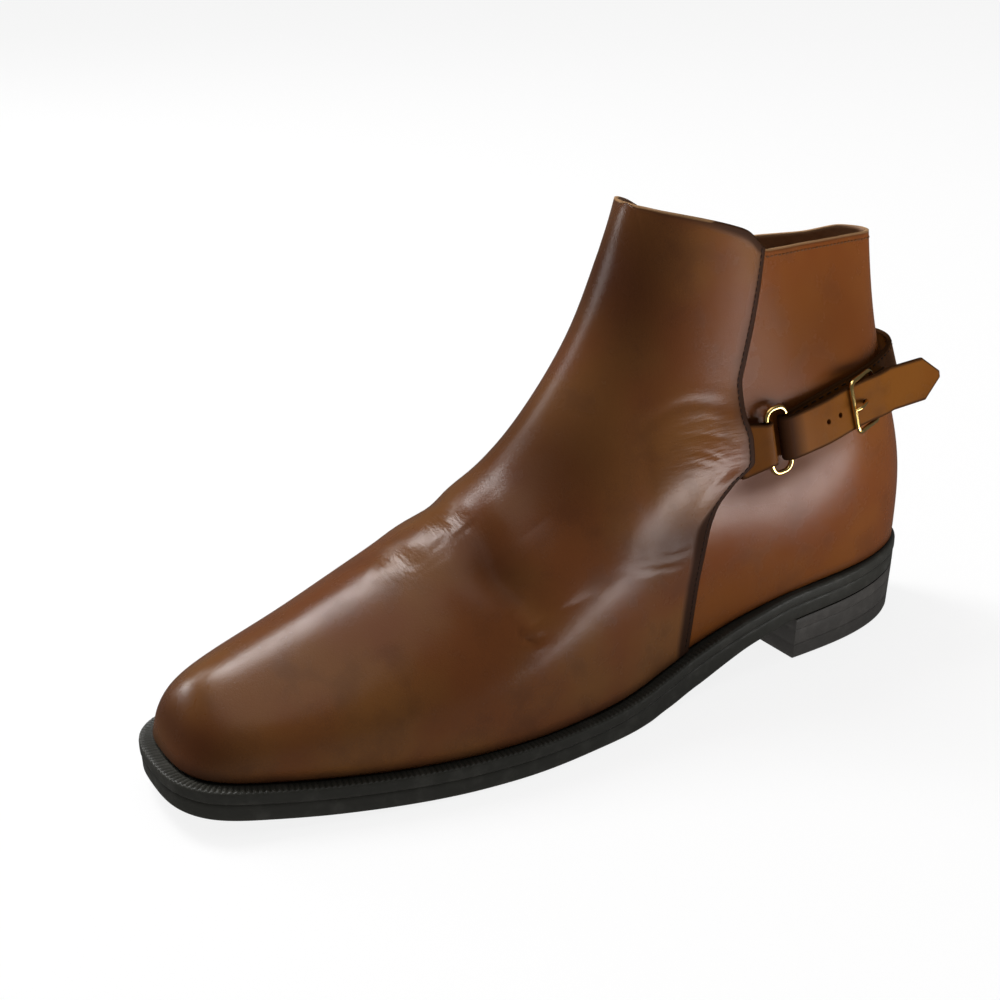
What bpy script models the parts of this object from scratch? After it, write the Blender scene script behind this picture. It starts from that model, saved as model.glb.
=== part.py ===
"""Left monk strap chukka boot: toe towards -Y, outer side towards +X, standing on its sole with +Z up."""

from collections import namedtuple
from math import radians

import bmesh
import bpy
import numpy as np

MM = 0.001

# Driving sizes in millimetres. A station is the distance forward from the back end of the outsole.
HEEL_CENTRE = 36.0
HEEL_BREAST = 72.0
OUTSOLE_THICK = 6.2
WELT_THICK = 4.4
GAP = 0.3
FEATHER_GAP = 0.65
INSOLE_THICK = 2.6
INSOLE_CLEAR = 0.8
UPPER_WALL = 2.4
VAMP_THICK = 1.4
VAMP_LIFT = 0.5
OUTSOLE_STEP = 0.7
HEEL_STEP = 0.5
HEEL_TAPER = 1.6
EDGE_ROUND = 0.5
HEEL_EDGE_SHARE = 0.05
SOLE_STACK = OUTSOLE_THICK + GAP + WELT_THICK

STRAP_WIDTH = 16.0
STRAP_THICK = 1.8
STRAP_CLEAR = 0.6
STRAP_LOOSE = 4.5
LOOSE_FROM = 27.0
STRAP_START = 96.4
STRAP_POINT = 10.0
STRAP_POINT_WIDTH = 3.0
STRAP_SPACING = 4.5
FREE_SPACING = 3.0

RING_WIRE = 0.95
RING_TALL = 25.4
RING_CORNER = 3.4
RING_LONG = 10.5
RING_STATION = 86.0
TAB_THICK = 1.2
TAB_CLEAR = 0.4
TAB_START = 96.4
TAB_WIDTH_AT_VAMP = 20.0
TAB_WIDTH_AT_RING = 15.5
RING_BAR_CLEAR = STRAP_CLEAR + STRAP_THICK + GAP + RING_WIRE

BUCKLE_WIRE = 0.9
BUCKLE_TALL = 20.6
BUCKLE_LONG = 16.0
BUCKLE_CORNER = 2.5
BUCKLE_STATION = 53.0
CHAPE_THICK = 0.7
CHAPE_CLEAR = 0.2
CHAPE_WIDTH = 13.0
CHAPE_LONG = 10.0
PRONG_RADIUS = 0.75
PRONG_HOLE = 1.1
REAR_BAR_CLEAR = STRAP_CLEAR + STRAP_THICK + 2 * CHAPE_CLEAR + CHAPE_THICK + BUCKLE_WIRE

# Mesh density: columns from the heel to the rear edge of the vamp, on to the collar's front, on to the toe.
QUARTER_COLUMNS = 10
PANEL_COLUMNS = 6
FOREFOOT_COLUMNS = 16
LEVELS = 18
SOLE_COLUMNS = 34
TURN_STEPS = 7
FOLD_STEPS = 4
# A fold's flat layers, and the strap's, end this far short of the bar that they turn round.
TURN_LEAD = 1.0
SHARP_ANGLE = 40.0

# Height of the outsole's underside along the foot.
UNDERSIDE = (
    # station, height
    (-20.0, 20.5),
    (0.0, 19.9),
    (40.0, 18.6),
    (72.0, 17.2),
    (92.0, 13.3),
    (118.0, 6.2),
    (145.0, 1.7),
    (170.0, 0.0),
    (215.0, 0.0),
    (260.0, 2.2),
    (308.0, 7.6),
    (330.0, 10.6),
)

# Outline of the sole seen from above, and how far in the upper meets the welt. Offsets from the foot's axis
# are positive on the outer side. The foot's own centre line swings inwards at the toe.
Plan = namedtuple("Plan", "station outer inner centre feather")
PLAN = (
    Plan(0.0, 0.0, 0.0, 0.0, 1.2),
    Plan(6.0, 16.8, -16.8, 0.0, 1.4),
    Plan(30.0, 30.5, -30.3, 0.0, 1.8),
    Plan(62.0, 34.8, -32.5, 0.0, 2.5),
    Plan(90.0, 35.0, -30.4, 0.0, 3.8),
    Plan(101.0, 34.9, -29.6, 0.0, 4.5),
    Plan(111.0, 35.0, -29.3, 0.0, 5.0),
    Plan(123.0, 36.6, -29.8, 0.0, 5.4),
    Plan(131.0, 38.6, -31.0, 0.0, 5.6),
    Plan(137.0, 40.0, -32.0, 0.0, 5.6),
    Plan(142.0, 41.5, -33.0, 0.0, 5.6),
    Plan(147.0, 42.8, -34.2, 0.0, 5.6),
    Plan(154.0, 44.3, -36.2, 0.0, 5.6),
    Plan(172.0, 46.6, -42.0, 0.0, 5.6),
    Plan(195.0, 47.8, -47.8, -0.3, 5.6),
    Plan(225.0, 44.4, -50.2, -1.2, 5.7),
    Plan(255.0, 38.0, -46.2, -2.4, 5.9),
    Plan(282.0, 30.0, -38.0, -3.4, 6.0),
    Plan(299.0, 22.5, -29.5, -3.9, 6.0),
    Plan(306.5, 11.0, -18.0, -4.0, 6.0),
    Plan(308.0, -4.0, -4.0, -4.0, 6.0),
)

# Ribs of the upper, one for each row of the outline, from the welt over the widest point of the wall (side)
# and the shoulder to the top, which is the collar on the first rows and the ridge of the foot on the others.
# A share is of the outline's half width, a shift is in station from the outline's own.
Rib = namedtuple("Rib", "side_share side_high side_shift shoulder_share shoulder_high shoulder_shift "
                        "top_station top_share top_high inner_drop")
RIBS = (
    Rib(1.00, 61, 0.3, 1.00, 112, 14.5, 19.0, 0.00, 151.0, 0.0),
    Rib(0.90, 60, 0.3, 0.71, 112, 13.5, 23.5, 0.46, 151.6, 0.5),
    Rib(0.96, 60, -0.4, 0.74, 112, 7.0, 40.0, 0.40, 152.8, 3.0),
    Rib(0.98, 60, -1.0, 0.76, 113, 1.5, 63.0, 0.50, 154.3, 3.5),
    Rib(0.95, 61, -2.0, 0.80, 114, -3.5, 86.0, 0.64, 156.2, 2.5),
    Rib(0.95, 62, -1.8, 0.80, 115, -4.0, 95.0, 0.665, 163.6, 2.0),
    Rib(0.95, 62, -1.5, 0.79, 116, -4.5, 104.0, 0.645, 167.2, 1.0),
    Rib(0.93, 63, -1.5, 0.73, 117, -3.5, 115.5, 0.50, 170.4, 0.0),
    Rib(0.91, 63, -1.0, 0.655, 117, -4.0, 122.8, 0.285, 172.0, 0.0),
    Rib(0.90, 62, 0.0, 0.59, 117, -4.5, 126.0, 0.00, 172.5, 0.0),
    Rib(0.89, 60, 0.5, 0.555, 112, -5.5, 129.2, 0.00, 162.0, 0.0),
    Rib(0.885, 58, 1.0, 0.55, 106, -5.0, 133.6, 0.00, 149.5, 0.0),
    Rib(0.88, 55, 1.0, 0.555, 98, -4.0, 141.0, 0.00, 134.0, 0.0),
    Rib(0.90, 44, 1.0, 0.60, 78, -2.0, 166.0, 0.00, 102.0, 0.0),
    Rib(0.92, 36, 1.0, 0.63, 62, 0.0, 193.0, 0.00, 81.0, 0.0),
    Rib(0.92, 30, 1.0, 0.63, 50, 1.0, 225.0, 0.00, 65.0, 0.0),
    Rib(0.90, 27, 0.0, 0.61, 42, -2.0, 251.0, 0.00, 54.5, 0.0),
    Rib(0.87, 26, -3.0, 0.57, 38, -8.5, 270.5, 0.00, 47.8, 0.0),
    Rib(0.83, 26, -7.0, 0.51, 36, -14.5, 278.5, 0.00, 45.0, 0.0),
    Rib(0.83, 27, -9.0, 0.51, 36, -17.5, 281.5, 0.00, 43.8, 0.0),
    Rib(1.00, 27, -9.4, 1.00, 36, -18.5, 283.0, 0.00, 43.2, 0.0),
)
COLLAR_FRONT = 9
TOE_RIBS = 17
TOE_SLOPE = 0.3
# Above this height the two sides of the ankle grow alike, over the second height.
SHAFT_FROM, SHAFT_OVER = 80.0, 30.0
# From this level up to the collar the wall's run round the foot turns into one that never overshoots.
STEADY_FROM = 0.55
# Power that spreads the rows out where they stand close together.
ROW_SPREAD = 0.7
# Shares of the way to the toe between which the vamp's rear edge lies.
EDGE_FROM, EDGE_TO = 0.15, 0.6

# Rear edge of the vamp seen from the side.
VAMP_EDGE = (
    # height, station
    (16.0, 121.5),
    (45.0, 119.5),
    (58.0, 116.8),
    (71.0, 112.5),
    (79.0, 105.5),
    (85.0, 97.0),
    (93.0, 97.3),
    (102.0, 99.4),
    (112.0, 99.3),
    (120.0, 97.0),
    (132.0, 93.2),
    (146.0, 89.5),
    (157.0, 87.0),
)

# Middle of the strap seen from the side: the layer next to the boot, and the layer back from the ring.
UNDER_LAYER = (
    # station, height
    (5.0, 100.5),
    (30.0, 99.8),
    (50.0, 97.3),
    (65.0, 94.5),
    (80.0, 91.3),
    (100.0, 89.0),
)
TOP_LAYER = (
    # station, height, clearance of its middle from the boot
    (33.0, 97.3, 8.0),
    (39.0, 96.8, 7.5),
    (45.0, 96.2, 5.9),
    (53.0, 95.0, 4.9),
    (66.0, 92.8, 5.4),
    (79.0, 91.3, 5.8),
)
STRAP_END = (2.0, 27.5, 97.8)
# The part of the ankle that the strap runs over: levels of the ribs, shares of the way to the toe, middle.
ANKLE_LEVELS = (0.3, 0.78, 49)
ANKLE_TRAVEL = (-0.42, 0.42, 337)
ANKLE_MIDDLE = (60.0, 0.0, 95.0)
ANKLE_STEP = 3.0

# Prong seen from the side of the buckle.
PRONG = (
    # distance behind the front bar, clearance from the boot
    (10.9, 4.4),
    (9.0, 5.1),
    (6.5, 6.8),
    (3.5, 8.3),
    (0.8, 9.1),
    (-1.6, 8.9),
)


def natural_spline(knots, values, wanted):
    """Cubic spline through rows of values, with free ends."""
    knots = np.asarray(knots, float)
    values = np.asarray(values, float)
    wanted = np.asarray(wanted, float)
    count = len(knots)
    step = np.diff(knots)
    table = values.reshape(count, -1)
    system = np.eye(count)
    right = np.zeros_like(table)
    for i in range(1, count - 1):
        system[i, i - 1 : i + 2] = step[i - 1], 2 * (step[i - 1] + step[i]), step[i]
        right[i] = 6 * ((table[i + 1] - table[i]) / step[i] - (table[i] - table[i - 1]) / step[i - 1])
    bend = np.linalg.solve(system, right)
    k = np.clip(np.searchsorted(knots, wanted) - 1, 0, count - 2)
    width = step[k][:, None]
    past = (wanted - knots[k])[:, None]
    left = width - past
    found = (bend[k] * left**3 + bend[k + 1] * past**3) / (6 * width)
    found += (table[k] / width - bend[k] * width / 6) * left
    found += (table[k + 1] / width - bend[k + 1] * width / 6) * past
    return found.reshape((len(wanted),) + values.shape[1:])


def steady_curve(knots, values, wanted):
    """Cubic curve through rows of values that never overshoots them."""
    knots = np.asarray(knots, float)
    values = np.asarray(values, float)
    wanted = np.asarray(wanted, float)
    table = values.reshape(len(knots), -1)
    step = np.diff(knots)[:, None]
    rise = np.diff(table, axis=0) / step
    before, after = 2 * step[1:] + step[:-1], step[1:] + 2 * step[:-1]
    same = rise[:-1] * rise[1:] > 0
    safe_low = np.where(same, rise[:-1], 1.0)
    safe_high = np.where(same, rise[1:], 1.0)
    slope = np.zeros_like(table)
    slope[1:-1] = np.where(same, (before + after) / (before / safe_low + after / safe_high), 0.0)
    slope[0], slope[-1] = rise[0], rise[-1]
    k = np.clip(np.searchsorted(knots, wanted) - 1, 0, len(knots) - 2)
    t = ((wanted - knots[k]) / step[k, 0])[:, None]
    found = (1 + 2 * t) * (1 - t) ** 2 * table[k] + t * (1 - t) ** 2 * step[k] * slope[k]
    found += t * t * (3 - 2 * t) * table[k + 1] + t * t * (t - 1) * step[k] * slope[k + 1]
    return found.reshape((len(wanted),) + values.shape[1:])


def ease(share):
    """A soft step from 0 to 1."""
    share = np.clip(share, 0, 1)
    return share * share * (3 - 2 * share)


def along(table, wanted):
    """Columns of a short table, read at the wanted values of its first column."""
    table = np.asarray(table, float)
    found = steady_curve(table[:, 0], table[:, 1:], np.atleast_1d(wanted))
    return found[:, 0] if table.shape[1] == 2 else found


def underside(station):
    return along(UNDERSIDE, station)


def to_world(points):
    """(station, outward, height) in millimetres to metres in the boot's frame."""
    points = np.asarray(points, float)
    return np.stack([points[..., 1], HEEL_CENTRE - points[..., 0], points[..., 2]], -1) * MM


PLAN_TABLE = np.array(PLAN)
OUTLINE = {
    1: np.stack([PLAN_TABLE[:, 0], PLAN_TABLE[:, 1]], -1),
    -1: np.stack([PLAN_TABLE[:, 0], PLAN_TABLE[:, 2]], -1),
}
ROWS = len(PLAN)
# The travel round the outline from the heel, which both sides share.
ROW_STEPS = np.linalg.norm(np.diff(OUTLINE[1], axis=0), axis=1) ** ROW_SPREAD
TRAVEL = np.concatenate([[0.0], np.cumsum(ROW_STEPS)])
TOE_TRAVEL = TRAVEL[-1]
FRONT_TRAVEL = TRAVEL[COLLAR_FRONT]


def round_the_foot(outer, inner, travel, curve):
    """Reads rows given for both sides as one closed loop. Travel is negative on the inner side."""
    loop = np.concatenate([inner[:0:-1], outer, inner[-2::-1]])
    knots = np.concatenate([-TRAVEL[:0:-1], TRAVEL, 2 * TOE_TRAVEL - TRAVEL[-2::-1]])
    return curve(knots, loop, travel)


def outline_at(side, travel, inset):
    """Points of the sole's outline, moved in by the inset (a number or one for each point)."""
    travel = np.asarray(travel, float)
    small = 0.02
    middle = round_the_foot(OUTLINE[1], OUTLINE[-1], side * travel, natural_spline)
    ahead = round_the_foot(OUTLINE[1], OUTLINE[-1], side * travel + small, natural_spline)
    behind = round_the_foot(OUTLINE[1], OUTLINE[-1], side * travel - small, natural_spline)
    run = ahead - behind
    inward = np.stack([run[:, 1], -run[:, 0]], -1)
    inward /= np.linalg.norm(inward, axis=1)[:, None]
    moved = middle + inward * np.broadcast_to(inset, travel.shape)[:, None]
    on_axis = np.isclose(travel, 0.0)
    moved[on_axis, 1] = 0.0
    return moved


def feather_inset(travel):
    return steady_curve(TRAVEL, PLAN_TABLE[:, 4], np.asarray(travel, float))


def rib_points():
    """The four table points of every rib, for each side: welt, side, shoulder and top."""
    ribs = np.array(RIBS)
    centre = PLAN_TABLE[:, 3]
    shaft = np.clip((ribs[:, 4] - SHAFT_FROM) / SHAFT_OVER, 0, 1)
    points = {}
    for side in (1, -1):
        half = OUTLINE[side][:, 1] - centre
        outer_half = side * (OUTLINE[1][:, 1] - centre)
        station = OUTLINE[side][:, 0]
        foot = outline_at(side, TRAVEL, PLAN_TABLE[:, 4])
        welt = np.stack([foot[:, 0], foot[:, 1], underside(foot[:, 0]) + SOLE_STACK + FEATHER_GAP], -1)
        wall = np.stack([station + ribs[:, 2], centre + ribs[:, 0] * half, ribs[:, 1]], -1)
        shoulder_half = half * (1 - shaft) + outer_half * shaft
        shoulder = np.stack([station + ribs[:, 5], centre + ribs[:, 3] * shoulder_half, ribs[:, 4]], -1)
        drop = ribs[:, 9] if side < 0 else 0.0
        top = np.stack([ribs[:, 6], centre + ribs[:, 7] * outer_half, ribs[:, 8] - drop], -1)
        points[side] = np.stack([welt, wall, shoulder, top], 1)
    return points


def over_the_toe(rib, slope):
    """A point past the top of a toe rib: on along the ridge, or down the other side, as the rib runs."""
    shoulder, top = rib[2], rib[3]
    ahead = (top - shoulder)[:2]
    crosswise = ahead[1] ** 2 / (ahead @ ahead)
    rise = -slope * ahead[0] - (top[2] - shoulder[2]) * crosswise
    return np.array([top[0] + ahead[0], top[1] + ahead[1], top[2] + rise])


def rib_curves(levels):
    """Every rib as a smooth curve from the welt (level 0) to the top (level 1)."""
    points = rib_points()
    curves = {1: [], -1: []}
    for row in range(ROWS):
        for side in (1, -1):
            line = points[side][row]
            if row >= TOE_RIBS:
                line = np.concatenate([line, [over_the_toe(line, TOE_SLOPE)]])
            elif row >= COLLAR_FRONT:
                line = np.concatenate([line, points[-side][row][2::-1]])
            length = np.concatenate([[0.0], np.cumsum(np.linalg.norm(np.diff(line, axis=0), axis=1))])
            curves[side].append(natural_spline(length, line, np.asarray(levels) * length[3]))
    return {side: np.array(curves[side]) for side in curves}


def upper_surface(travel, levels):
    """Points of the upper's outer face. travel has one row for each level, negative on the inner side."""
    curves = rib_curves(levels)
    found = []
    for j, level in enumerate(levels):
        outer, inner = curves[1][:, j], curves[-1][:, j]
        smooth = round_the_foot(outer, inner, travel[j], natural_spline)
        steady = round_the_foot(outer, inner, travel[j], steady_curve)
        share = ease((level - STEADY_FROM) / (1 - STEADY_FROM))
        found.append(smooth * (1 - share) + steady * share)
    return np.array(found)


def vamp_edge_travel(side, levels):
    """Where the vamp's rear edge crosses each level, found on a fine run of the surface."""
    fine = np.linspace(EDGE_FROM, EDGE_TO, 400) * TOE_TRAVEL
    rows = upper_surface([side * fine] * len(levels), levels)
    edge = []
    for row in rows:
        ahead = row[:, 0] - along(VAMP_EDGE, np.clip(row[:, 2], VAMP_EDGE[0][0], VAMP_EDGE[-1][0]))
        edge.append(np.interp(0.0, ahead, fine))
    return np.array(edge)


def column_travel(side, levels):
    """Travel of each grid column at each level: the columns follow the vamp's edge and the collar's front."""
    edge = vamp_edge_travel(side, levels)[:, None]
    quarter = np.linspace(0, 1, QUARTER_COLUMNS + 1)[None, :-1] * edge
    panel = edge + (FRONT_TRAVEL - edge) * np.linspace(0, 1, PANEL_COLUMNS + 1)[None, :-1]
    forefoot = np.linspace(FRONT_TRAVEL, TOE_TRAVEL, FOREFOOT_COLUMNS + 1)
    forefoot = np.broadcast_to(forefoot, (len(levels), FOREFOOT_COLUMNS + 1))
    return np.concatenate([quarter, panel, forefoot], 1)


def vertex_normals(points, faces):
    normals = np.zeros_like(points)
    for face in faces:
        corners = points[list(face)]
        normal = np.cross(corners[2] - corners[0], corners[-1] - corners[1])
        for index in face:
            normals[index] += normal
    return normals / np.linalg.norm(normals, axis=1)[:, None]


def upper_grid():
    """Points and faces of the upper's outer face, each face's column, and the points next to the welt."""
    levels = np.linspace(0, 1, LEVELS)
    toe = QUARTER_COLUMNS + PANEL_COLUMNS + FOREFOOT_COLUMNS
    front = QUARTER_COLUMNS + PANEL_COLUMNS
    rows = {side: upper_surface(side * column_travel(side, levels), levels) for side in (1, -1)}
    points = []
    index = {}
    for side in (1, -1):
        for column in range(toe + 1):
            for j in range(LEVELS):
                on_middle = column in (0, toe) or (j == LEVELS - 1 and column >= front)
                if side < 0 and on_middle:
                    index[side, column, j] = index[1, column, j]
                    continue
                index[side, column, j] = len(points)
                points.append(rows[side][j, column])
    faces = []
    columns = []
    for side in (1, -1):
        for column in range(toe):
            for j in range(LEVELS - 1):
                corners = [(column, j), (column + 1, j), (column + 1, j + 1), (column, j + 1)]
                face = tuple(index[side, c, k] for c, k in corners)
                faces.append(face[::-1] if side > 0 else face)
                columns.append(column)
    at_welt = sorted({index[side, column, 0] for side in (1, -1) for column in range(toe + 1)})
    return np.array(points), faces, columns, at_welt


def new_collection(name):
    collection = bpy.data.collections.new(name)
    bpy.context.scene.collection.children.link(collection)
    return collection


def material(name, colour, roughness, metallic=0.0):
    made = bpy.data.materials.new(name)
    made.use_nodes = True
    shader = made.node_tree.nodes["Principled BSDF"]
    shader.inputs["Base Color"].default_value = (*colour, 1.0)
    shader.inputs["Roughness"].default_value = roughness
    shader.inputs["Metallic"].default_value = metallic
    return made


def add_object(name, data, slot):
    """Puts the data in the scene as a named part with its own copy of the material."""
    own = slot.copy()
    own.name = f"{name}_{slot.name}"
    data.materials.append(own)
    part = bpy.data.objects.new(name, data)
    part.parent = BOOT
    PARTS.objects.link(part)
    return part


def add_mesh(name, points, faces, slot):
    """A mesh from (station, outward, height) points."""
    mesh = bpy.data.meshes.new(name)
    mesh.from_pydata(to_world(points).tolist(), [], [tuple(face) for face in faces])
    mesh.validate()
    mesh.shade_smooth()
    mesh.set_sharp_from_angle(angle=radians(SHARP_ANGLE))
    return add_object(name, mesh, slot)


def add_thickness(part, thickness, offset):
    solidify = part.modifiers.new("Wall", "SOLIDIFY")
    solidify.thickness = thickness * MM
    solidify.offset = offset
    solidify.use_even_offset = False
    solidify.use_quality_normals = True


def add_wire(name, points, radius, slot, closed):
    """A round wire through (station, outward, height) points."""
    curve = bpy.data.curves.new(name, "CURVE")
    curve.dimensions = "3D"
    curve.bevel_depth = radius * MM
    curve.bevel_resolution = 2
    curve.use_fill_caps = not closed
    spline = curve.splines.new("POLY")
    world = to_world(points)
    spline.points.add(len(world) - 1)
    for knot, point in zip(spline.points, world):
        knot.co = (*point, 1.0)
    spline.use_cyclic_u = closed
    return add_object(name, curve, slot)


def paired_rings(rings, pointed_end):
    """Faces of a solid whose rings pair outer and inner points: rings[k] is (outer points, inner points)."""
    count = len(rings[0][0])
    points = []
    index = {}
    for k, (outer, inner) in enumerate(rings):
        for i in range(count):
            index[k, 1, i] = len(points)
            points.append(outer[i])
        for i in range(count):
            if i == 0 or (pointed_end and i == count - 1):
                index[k, -1, i] = index[k, 1, i]
                continue
            index[k, -1, i] = len(points)
            points.append(inner[i])
    faces = []
    last = len(rings) - 1
    for k in range(last):
        for i in range(count - 1):
            faces.append([index[k, 1, i + 1], index[k, 1, i], index[k + 1, 1, i], index[k + 1, 1, i + 1]])
            faces.append([index[k, -1, i], index[k, -1, i + 1], index[k + 1, -1, i + 1], index[k + 1, -1, i]])
        if not pointed_end:
            i = count - 1
            faces.append([index[k, -1, i], index[k, 1, i], index[k + 1, 1, i], index[k + 1, -1, i]])
    for k, turn in ((0, 1), (last, -1)):
        for i in range(count - 1):
            strip = [index[k, 1, i], index[k, 1, i + 1], index[k, -1, i + 1], index[k, -1, i]]
            faces.append(strip[::turn])
    tidy = []
    for face in faces:
        kept = [v for n, v in enumerate(face) if v != face[n - 1]]
        tidy.append(kept)
    return np.array(points), tidy


def sole_travel():
    """Travel round the sole with the columns closer together at the heel and the toe."""
    even = np.linspace(0, 1, SOLE_COLUMNS + 1)
    crowded = (1 - np.cos(np.pi * even)) / 2
    return TOE_TRAVEL * (even + crowded) / 2


def plate_ring(inset, rise):
    """One ring of a plate that follows the sole: the outline moved in, at a rise above the underside."""
    travel = sole_travel()
    sides = []
    for side in (1, -1):
        plan = outline_at(side, travel, inset if np.isscalar(inset) else inset(travel))
        sides.append(np.column_stack([plan, underside(plan[:, 0]) + rise]))
    return sides


def sole_plate(name, low, high, inset, slot):
    """A plate between two rises above the underside, with rounded edges."""
    def pulled_in(travel):
        base = inset if np.isscalar(inset) else inset(travel)
        return base + EDGE_ROUND

    rings = [
        plate_ring(pulled_in, low),
        plate_ring(inset, low + EDGE_ROUND),
        plate_ring(inset, high - EDGE_ROUND),
        plate_ring(pulled_in, high),
    ]
    points, faces = paired_rings(rings, pointed_end=True)
    return add_mesh(name, points, faces, slot)


def add_soles(black, rubber, lining):
    welt_low = OUTSOLE_THICK + GAP
    sole_plate("outsole", 0.0, OUTSOLE_THICK, OUTSOLE_STEP, black)
    sole_plate("welt", welt_low, welt_low + WELT_THICK, 0.0, black)

    def inside_wall(travel):
        return feather_inset(travel) + UPPER_WALL + INSOLE_CLEAR

    low = SOLE_STACK + GAP
    sole_plate("insole", low, low + INSOLE_THICK, inside_wall, lining)

    fine = np.linspace(0, 0.5 * TOE_TRAVEL, 400)
    breast = {side: np.interp(HEEL_BREAST, outline_at(side, fine, 0.0)[:, 0], fine) for side in (1, -1)}
    spread = 1 - np.cos(np.linspace(0, np.pi / 2, SOLE_COLUMNS // 2))
    rings = []
    for share, inset in ((0.0, HEEL_TAPER + EDGE_ROUND), (HEEL_EDGE_SHARE, HEEL_TAPER), (1.0, HEEL_STEP)):
        ring = []
        for side in (1, -1):
            plan = outline_at(side, spread * breast[side], inset)
            plan[-1, 0] = HEEL_BREAST
            ring.append(np.column_stack([plan, share * (underside(plan[:, 0]) - GAP)]))
        rings.append(ring)
    points, faces = paired_rings(rings, pointed_end=False)
    add_mesh("heel", points, faces, rubber)


def add_upper(leather, front_leather):
    points, faces, columns, at_welt = upper_grid()
    wall = add_mesh("upper", points, faces, leather)
    add_thickness(wall, UPPER_WALL, -1.0)
    raised = points + vertex_normals(points, faces) * GAP
    raised[at_welt, 2] += VAMP_LIFT
    front_faces = [face for face, column in zip(faces, columns) if column >= QUARTER_COLUMNS]
    used = sorted({index for face in front_faces for index in face})
    order = {old: new for new, old in enumerate(used)}
    front = [tuple(order[index] for index in face) for face in front_faces]
    panel = add_mesh("vamp", raised[used], front, front_leather)
    add_thickness(panel, VAMP_THICK, 1.0)


class AnkleSkin:
    """The upper's face round the ankle, read by travel and height."""

    def __init__(self):
        levels = np.linspace(*ANKLE_LEVELS)
        self.travel = np.linspace(*ANKLE_TRAVEL) * TOE_TRAVEL
        self.skin = upper_surface([self.travel] * len(levels), levels)

    def at_height(self, heights):
        """A run of points round the ankle, one for each travel, each at its own height."""
        run = np.empty((len(self.travel), 3))
        for i in range(len(self.travel)):
            column = self.skin[:, i]
            for axis in range(3):
                run[i, axis] = np.interp(heights[i], column[:, 2], column[:, axis])
        return run

    def normals(self, run):
        """Outward normals along such a run."""
        lower = self.at_height(run[:, 2] - ANKLE_STEP)
        upward = run - lower
        forward = np.gradient(run, axis=0)
        normal = np.cross(upward, forward)
        outward = np.sign((normal * (run - np.array(ANKLE_MIDDLE))).sum())
        return outward * normal / np.linalg.norm(normal, axis=1)[:, None]

    def route(self, table):
        """The run whose heights follow a table by station, the same on both sides, with its normals."""
        heights = np.full(len(self.travel), ANKLE_MIDDLE[2])
        first, last = table[0][0], table[-1][0]
        for _ in range(4):
            run = self.at_height(heights)
            heights = along([row[:2] for row in table], np.clip(run[:, 0], first, last))
        run = self.at_height(heights)
        return run, self.normals(run)

    def outer_side(self, table, stations, clearance):
        """Points and normals on the outer side of such a run, at stations, each with its clearance."""
        run, normals = self.route(table)
        outer = self.travel >= 0
        run, normals = run[outer], normals[outer]
        point = np.stack([np.interp(stations, run[:, 0], run[:, k]) for k in range(3)], -1)
        normal = np.stack([np.interp(stations, run[:, 0], normals[:, k]) for k in range(3)], -1)
        normal /= np.linalg.norm(normal, axis=1)[:, None]
        return point + normal * np.broadcast_to(clearance, len(point))[:, None], normal


def ribbon(name, middle, normals, widths, thickness, slot):
    """A flat strip: its middle line, the way its face looks, its width at each point and its thickness."""
    run = np.gradient(middle, axis=0)
    run /= np.linalg.norm(run, axis=1)[:, None]
    across = np.cross(normals, run)
    across /= np.linalg.norm(across, axis=1)[:, None]
    face = np.cross(run, across)
    half = np.asarray(widths)[:, None] / 2
    deep = thickness / 2
    corners = [middle + a * across * half + b * face * deep for a, b in ((-1, -1), (1, -1), (1, 1), (-1, 1))]
    points = np.stack(corners, 1).reshape(-1, 3)
    faces = []
    for i in range(len(middle) - 1):
        for k in range(4):
            a, b = 4 * i + k, 4 * i + (k + 1) % 4
            faces.append((a, b, b + 4, a + 4))
    last = 4 * (len(middle) - 1)
    faces.append((3, 2, 1, 0))
    faces.append((last, last + 1, last + 2, last + 3))
    return add_mesh(name, points, faces, slot)


def resample(line, spacing):
    """Rows along a polyline at about the given spacing. The first three columns are its points."""
    length = np.concatenate([[0.0], np.cumsum(np.linalg.norm(np.diff(line[:, :3], axis=0), axis=1))])
    wanted = np.linspace(0, length[-1], max(2, int(round(length[-1] / spacing)) + 1))
    return np.stack([np.interp(wanted, length, line[:, k]) for k in range(line.shape[1])], -1)


def half_turn(bar, normal, forward, radius):
    """Points and outward directions of a half turn round a bar, from below it over its front to above it."""
    angles = np.linspace(-np.pi / 2, np.pi / 2, TURN_STEPS)[:, None]
    outward = np.cos(angles) * forward + np.sin(angles) * normal
    return bar + radius * outward, outward


def unit(vector):
    return vector / np.linalg.norm(vector)


def ring_bars(skin):
    """Middle of the ring's rear and front bar, the way out from the boot and the way across the strap."""
    reach = RING_LONG / 2 - RING_WIRE
    stations = np.array([RING_STATION - reach, RING_STATION + reach])
    bars, normals = skin.outer_side(UNDER_LAYER, stations, RING_BAR_CLEAR)
    normal = unit(normals.sum(0))
    across = unit(np.cross(bars[1] - bars[0], normal))
    across *= np.sign(across[2])
    return bars, normal, across


def rounded_frame(bars, across, tall, corner):
    """Closed middle line of a flat wire frame with two bars, rounded corners and the given height."""
    middle = bars.mean(0)
    lengthwise = unit(bars[1] - bars[0])
    long_half = np.linalg.norm(bars[1] - bars[0]) / 2
    points = []
    for sign_long, sign_tall, start in ((1, 1, 0), (-1, 1, 1), (-1, -1, 2), (1, -1, 3)):
        turn = np.array([sign_long * (long_half - corner), sign_tall * (tall / 2 - corner)])
        for angle in np.linspace(start, start + 1, 5) * np.pi / 2:
            flat = turn + corner * np.array([np.cos(angle), np.sin(angle)])
            points.append(middle + flat[0] * lengthwise + flat[1] * across)
    return points


def add_ring(skin, brass):
    bars, _, across = ring_bars(skin)
    points = rounded_frame(bars, across, RING_TALL - 2 * RING_WIRE, RING_CORNER)
    add_wire("ring", points, RING_WIRE, brass, closed=True)


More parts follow.
